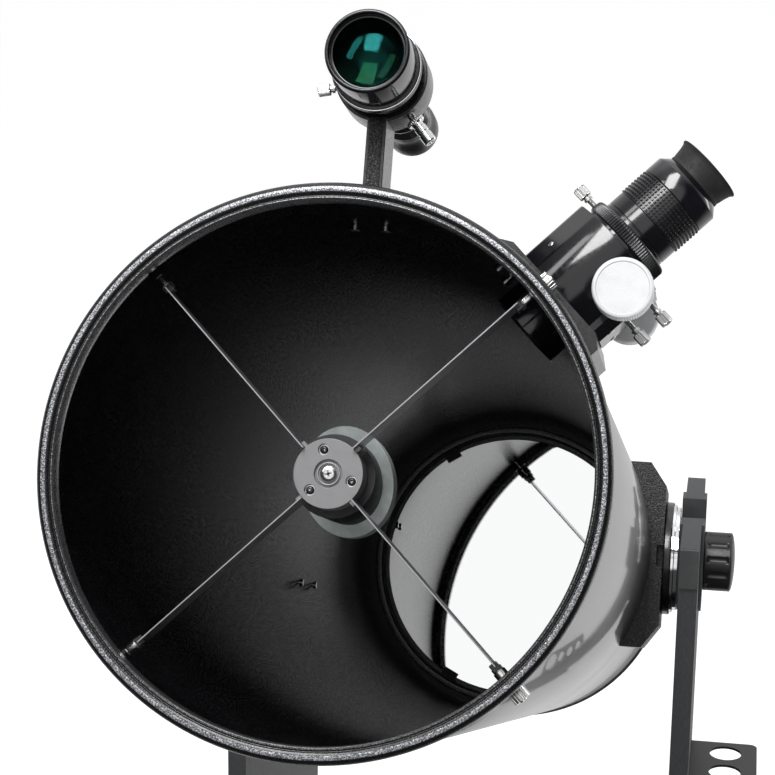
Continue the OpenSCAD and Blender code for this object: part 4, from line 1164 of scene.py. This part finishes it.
ocular = [
    (15.05, 212), (17.8, 213), (18.6, 214), (18.6, 240), (17.6, 243), (17.6, 262), (19.8, 266),
    (19.8, 283), (18.6, 284.5), (16, 284.5), (14, 276), (0, 276), (0, 237), (15.05, 237),
]
ocular = ocular[:3] + [(18.6 - (0.5 if i % 2 else 0.0), 216 + i) for i in range(22)] + ocular[3:]
piece("finder_ocular", spun(ocular, 128), FINDER, "finder", "satin", ["finder_eyepiece"])
piece("finder_eye_lens", Shape().add(lens(13.6, 274.5, 277.5, 0, 1.0)), FINDER, "finder", "eye_lens")


# ---- altitude bearings and knobs


def both_sides(name, shape, body, look, replaces=(), **kw):
    whole = Shape()
    join(whole, shape, Matrix.Scale(1000, 4) @ TILT)
    join(whole, shape, Matrix.Scale(1000, 4) @ MIRROR_X @ TILT)
    return piece(name, whole, WORLD, body, look, replaces, **kw)


plate_profile = soften(
    [(0, 190.2), (54.5, 190.2), (55.5, 191.2), (55.5, 197.0), (54.5, 198), (8, 198), (8, 246), (0, 246)],
    0.5,
)
rib = box((-10, -43.5, 184.2), (10, 43.5, 191))
plates = spun(plate_profile, 192).add(rib, turn(90, "Z"))
both_sides("altitude_bearing_plates", plates, "altitude_bearings", "satin", ["altitude_plates"], sharp=30)
race = [
    (8.05, 198.02), (53.5, 198.02), (53.5, 200.2), (53.2, 200.5), (51.4, 200.6), (51, 201),
    (51, 204.2), (50.6, 204.6), (8.05, 204.6),
]
both_sides(
    "altitude_bearing_races", spun(race, 192), "altitude_bearings", "chrome", ["altitude_races"], sharp=30
)


def altitude_knob():
    """Twelve finger flutes with rounded ends, and a shallow domed cap."""
    r, low, high = 29.0, 229.2, 259.5
    grip = high - 4.5

    def radial(q, z, a):
        if q < r - 1.0 or z < low + 3 or z > grip - 1:
            return q
        lobe = max(0.0, math.cos(12 * a) - 0.25) / 0.75
        ends = min(1.0, (z - low - 3) / 3.0, (grip - 1 - z) / 3.0)
        return q - 2.0 * math.sqrt(lobe) * math.sqrt(max(0.0, ends))

    profile = [(8.08, low), (r - 1.2, low), (r - 0.3, low + 0.4), (r, low + 1.2)]
    profile += [(r, low + 2.9 + (grip - 3.8 - low) * i / 18) for i in range(19)]
    profile += [
        (r * math.cos(math.radians(a)) if a < 90 else 0, grip + 4.5 * math.sin(math.radians(a)))
        for a in range(0, 91, 6)
    ]
    profile += [(0, 248), (8.08, 248)]
    return revolve(profile, 240, radial)


for side, matrix in (("right", IDENTITY), ("left", MIRROR_X)):
    knob = join(Shape(), Shape().add(altitude_knob()), Matrix.Scale(1000, 4) @ matrix @ TILT)
    piece(
        f"tension_knob_{side}", knob, WORLD, f"altitude_knob_{side}", "knob",
        [f"altitude_knob_{side}"], sharp=35,
    )


# ---- base details

SPAN, REACH, BAR, BEND = 120, 42, 9, 16
HANDLE_Y, HANDLE_Z = -232, 330
path = [(-SPAN / 2, HANDLE_Y, HANDLE_Z)]
for k in range(9):
    a = math.radians(90 * k / 8)
    path.append(
        (-SPAN / 2 + BEND - BEND * math.cos(a), HANDLE_Y - REACH + BEND - BEND * math.sin(a), HANDLE_Z)
    )
path += [(-p[0], p[1], p[2]) for p in reversed(path)]
handle = Shape().add(sweep(path, BAR, 32))
for side in (-1, 1):
    flange = revolve(soften([(0, 0), (16, 0), (16, 3), (11, 4.5), (0, 4.5)], 1.0), 64)
    handle.add(flange, move(side * SPAN / 2, HANDLE_Y, HANDLE_Z) @ turn(90, "X"))
piece("carry_grip", handle, WORLD, "rocker", "plastic", ["carry_handle"])


# ---- springs round the collimation bolts

BOLT_CIRCLE = 128
SPRING_FRONT, SPRING_BACK = 1405, 1414  # along the tube: at the mirror cell, at the rear ring
for index, angle in enumerate((-90, 150, 30), 1):
    a = math.radians(angle)
    x, n = BOLT_CIRCLE * math.cos(a), BOLT_CIRCLE * math.sin(a)
    spring = Shape().add(
        helix(6.0, 0, SPRING_BACK - SPRING_FRONT, 3.5, 0.7, 24), move(x, SPRING_FRONT, n) @ turn(-90, "X")
    )
    coil = piece(f"collimation_spring_{index}", spring, TUBE, None, "bright")
    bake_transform(coil)


# ---- floor, light and camera

floor_mesh = bpy.data.meshes.new("floor")
floor_mesh.from_pydata([(-60, -60, 0), (60, -60, 0), (60, 60, 0), (-60, 60, 0)], [], [(0, 1, 2, 3)])
floor = bpy.data.objects.new("floor", floor_mesh)
bpy.context.scene.collection.objects.link(floor)
paper = bpy.data.materials.new("pale_floor")
paper.use_nodes = True
shader = paper.node_tree.nodes["Principled BSDF"].inputs
shader["Base Color"].default_value = (0.92, 0.92, 0.92, 1)
shader["Roughness"].default_value = 0.9
shader["Emission Color"].default_value = (1, 1, 1, 1)
shader["Emission Strength"].default_value = 0.35
shader["Specular IOR Level"].default_value = 0.1
floor_mesh.materials.append(paper)
floor.visible_glossy = False

lights = []


def softbox(name, place, target, size, power):
    data = bpy.data.lights.new(name, "AREA")
    data.shape = "RECTANGLE"
    data.size, data.size_y = size
    data.energy = power
    lamp = bpy.data.objects.new(name, data)
    lamp.location = place
    lamp.rotation_euler = (Vector(target) - Vector(place)).to_track_quat("-Z", "Y").to_euler()
    bpy.context.scene.collection.objects.link(lamp)
    lights.append(lamp)


softbox("key", (-0.17, -1.72, 3.0), (0, -0.7, 1.25), (0.85, 1.26), 52)
softbox("left_strip", (-1.15, -1.75, 2.65), (0, -0.6, 1.1), (0.4, 1.4), 10)
softbox("right_strip", (2.4, 0.9, 1.7), (0.2, -0.2, 0.8), (0.5, 2.0), 12)

world = bpy.data.worlds.new("studio")
bpy.context.scene.world = world
world.use_nodes = True
tree = world.node_tree
tree.nodes.clear()
output = tree.nodes.new("ShaderNodeOutputWorld")
background = tree.nodes.new("ShaderNodeBackground")
tree.links.new(background.outputs[0], output.inputs[0])
coords = tree.nodes.new("ShaderNodeTexCoord")
split = tree.nodes.new("ShaderNodeSeparateXYZ")
tree.links.new(coords.outputs["Generated"], split.inputs[0])


def sky_band(value, low, high, strength):
    """Light that rises from 0 to strength as value goes from low to high."""
    node = tree.nodes.new("ShaderNodeMapRange")
    node.interpolation_type = "SMOOTHSTEP"
    node.inputs["From Min"].default_value, node.inputs["From Max"].default_value = low, high
    node.inputs["To Min"].default_value, node.inputs["To Max"].default_value = 0.0, strength
    tree.links.new(value, node.inputs["Value"])
    return node.outputs["Result"]


aim = tree.nodes.new("ShaderNodeVectorMath")
aim.operation = "DOT_PRODUCT"
aim.inputs[1].default_value = (0, -0.924, 0.383)
tree.links.new(coords.outputs["Generated"], aim.inputs[0])
bands = [
    sky_band(split.outputs["Y"], 0.0, 0.5, 0.9),  # the lit backdrop behind the telescope
    sky_band(split.outputs["Z"], 0.6, 0.98, 1.1),  # the overhead bank that lights the floor
    sky_band(aim.outputs["Value"], 0.87, 0.94, 1.2),  # the panel that the open tube looks at
]
AMBIENT = 0.07  # light where no band shines
total = None
for band in bands:
    node = tree.nodes.new("ShaderNodeMath")
    node.operation = "ADD"
    tree.links.new(band, node.inputs[0])
    if total is None:
        node.inputs[1].default_value = AMBIENT
    else:
        tree.links.new(total, node.inputs[1])
    total = node.outputs[0]
# above the floor the camera sees an even light grey instead of the dark parts of the room
seen = tree.nodes.new("ShaderNodeMath")
seen.operation = "MAXIMUM"
tree.links.new(total, seen.inputs[0])
tree.links.new(tree.nodes.new("ShaderNodeLightPath").outputs["Is Camera Ray"], seen.inputs[1])
tree.links.new(seen.outputs[0], background.inputs["Strength"])
bpy.context.scene.view_settings.view_transform = "Standard"

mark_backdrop(floor, *lights)

eye = bpy.data.cameras.new("view")
LENS_MM, SENSOR_MM = 105.23, 36
EYE = Vector((248.7, -1368.0, -101.8))  # in the tube's frame
eye.lens, eye.sensor_width, eye.clip_end = LENS_MM, SENSOR_MM, 300
camera = bpy.data.objects.new("view", eye)
bpy.context.scene.collection.objects.link(camera)
RIGHT, AHEAD = Vector((0.987, 0.1433, 0.0726)), Vector((-0.1507, 0.9823, 0.1110))
right, ahead = TUBE.to_3x3() @ RIGHT, TUBE.to_3x3() @ AHEAD
ahead.normalize()
right = (right - ahead * right.dot(ahead)).normalized()
up = right.cross(ahead)
facing = Matrix((right, up, -ahead)).transposed().to_4x4()
camera.matrix_world = Matrix.Translation(TUBE @ EYE) @ facing
bpy.context.scene.camera = camera

size = {"cad_low": list(cad_low), "cad_high": list(cad_high)}
now_low, now_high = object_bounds()
size["visual_low"], size["visual_high"] = list(now_low), list(now_high)
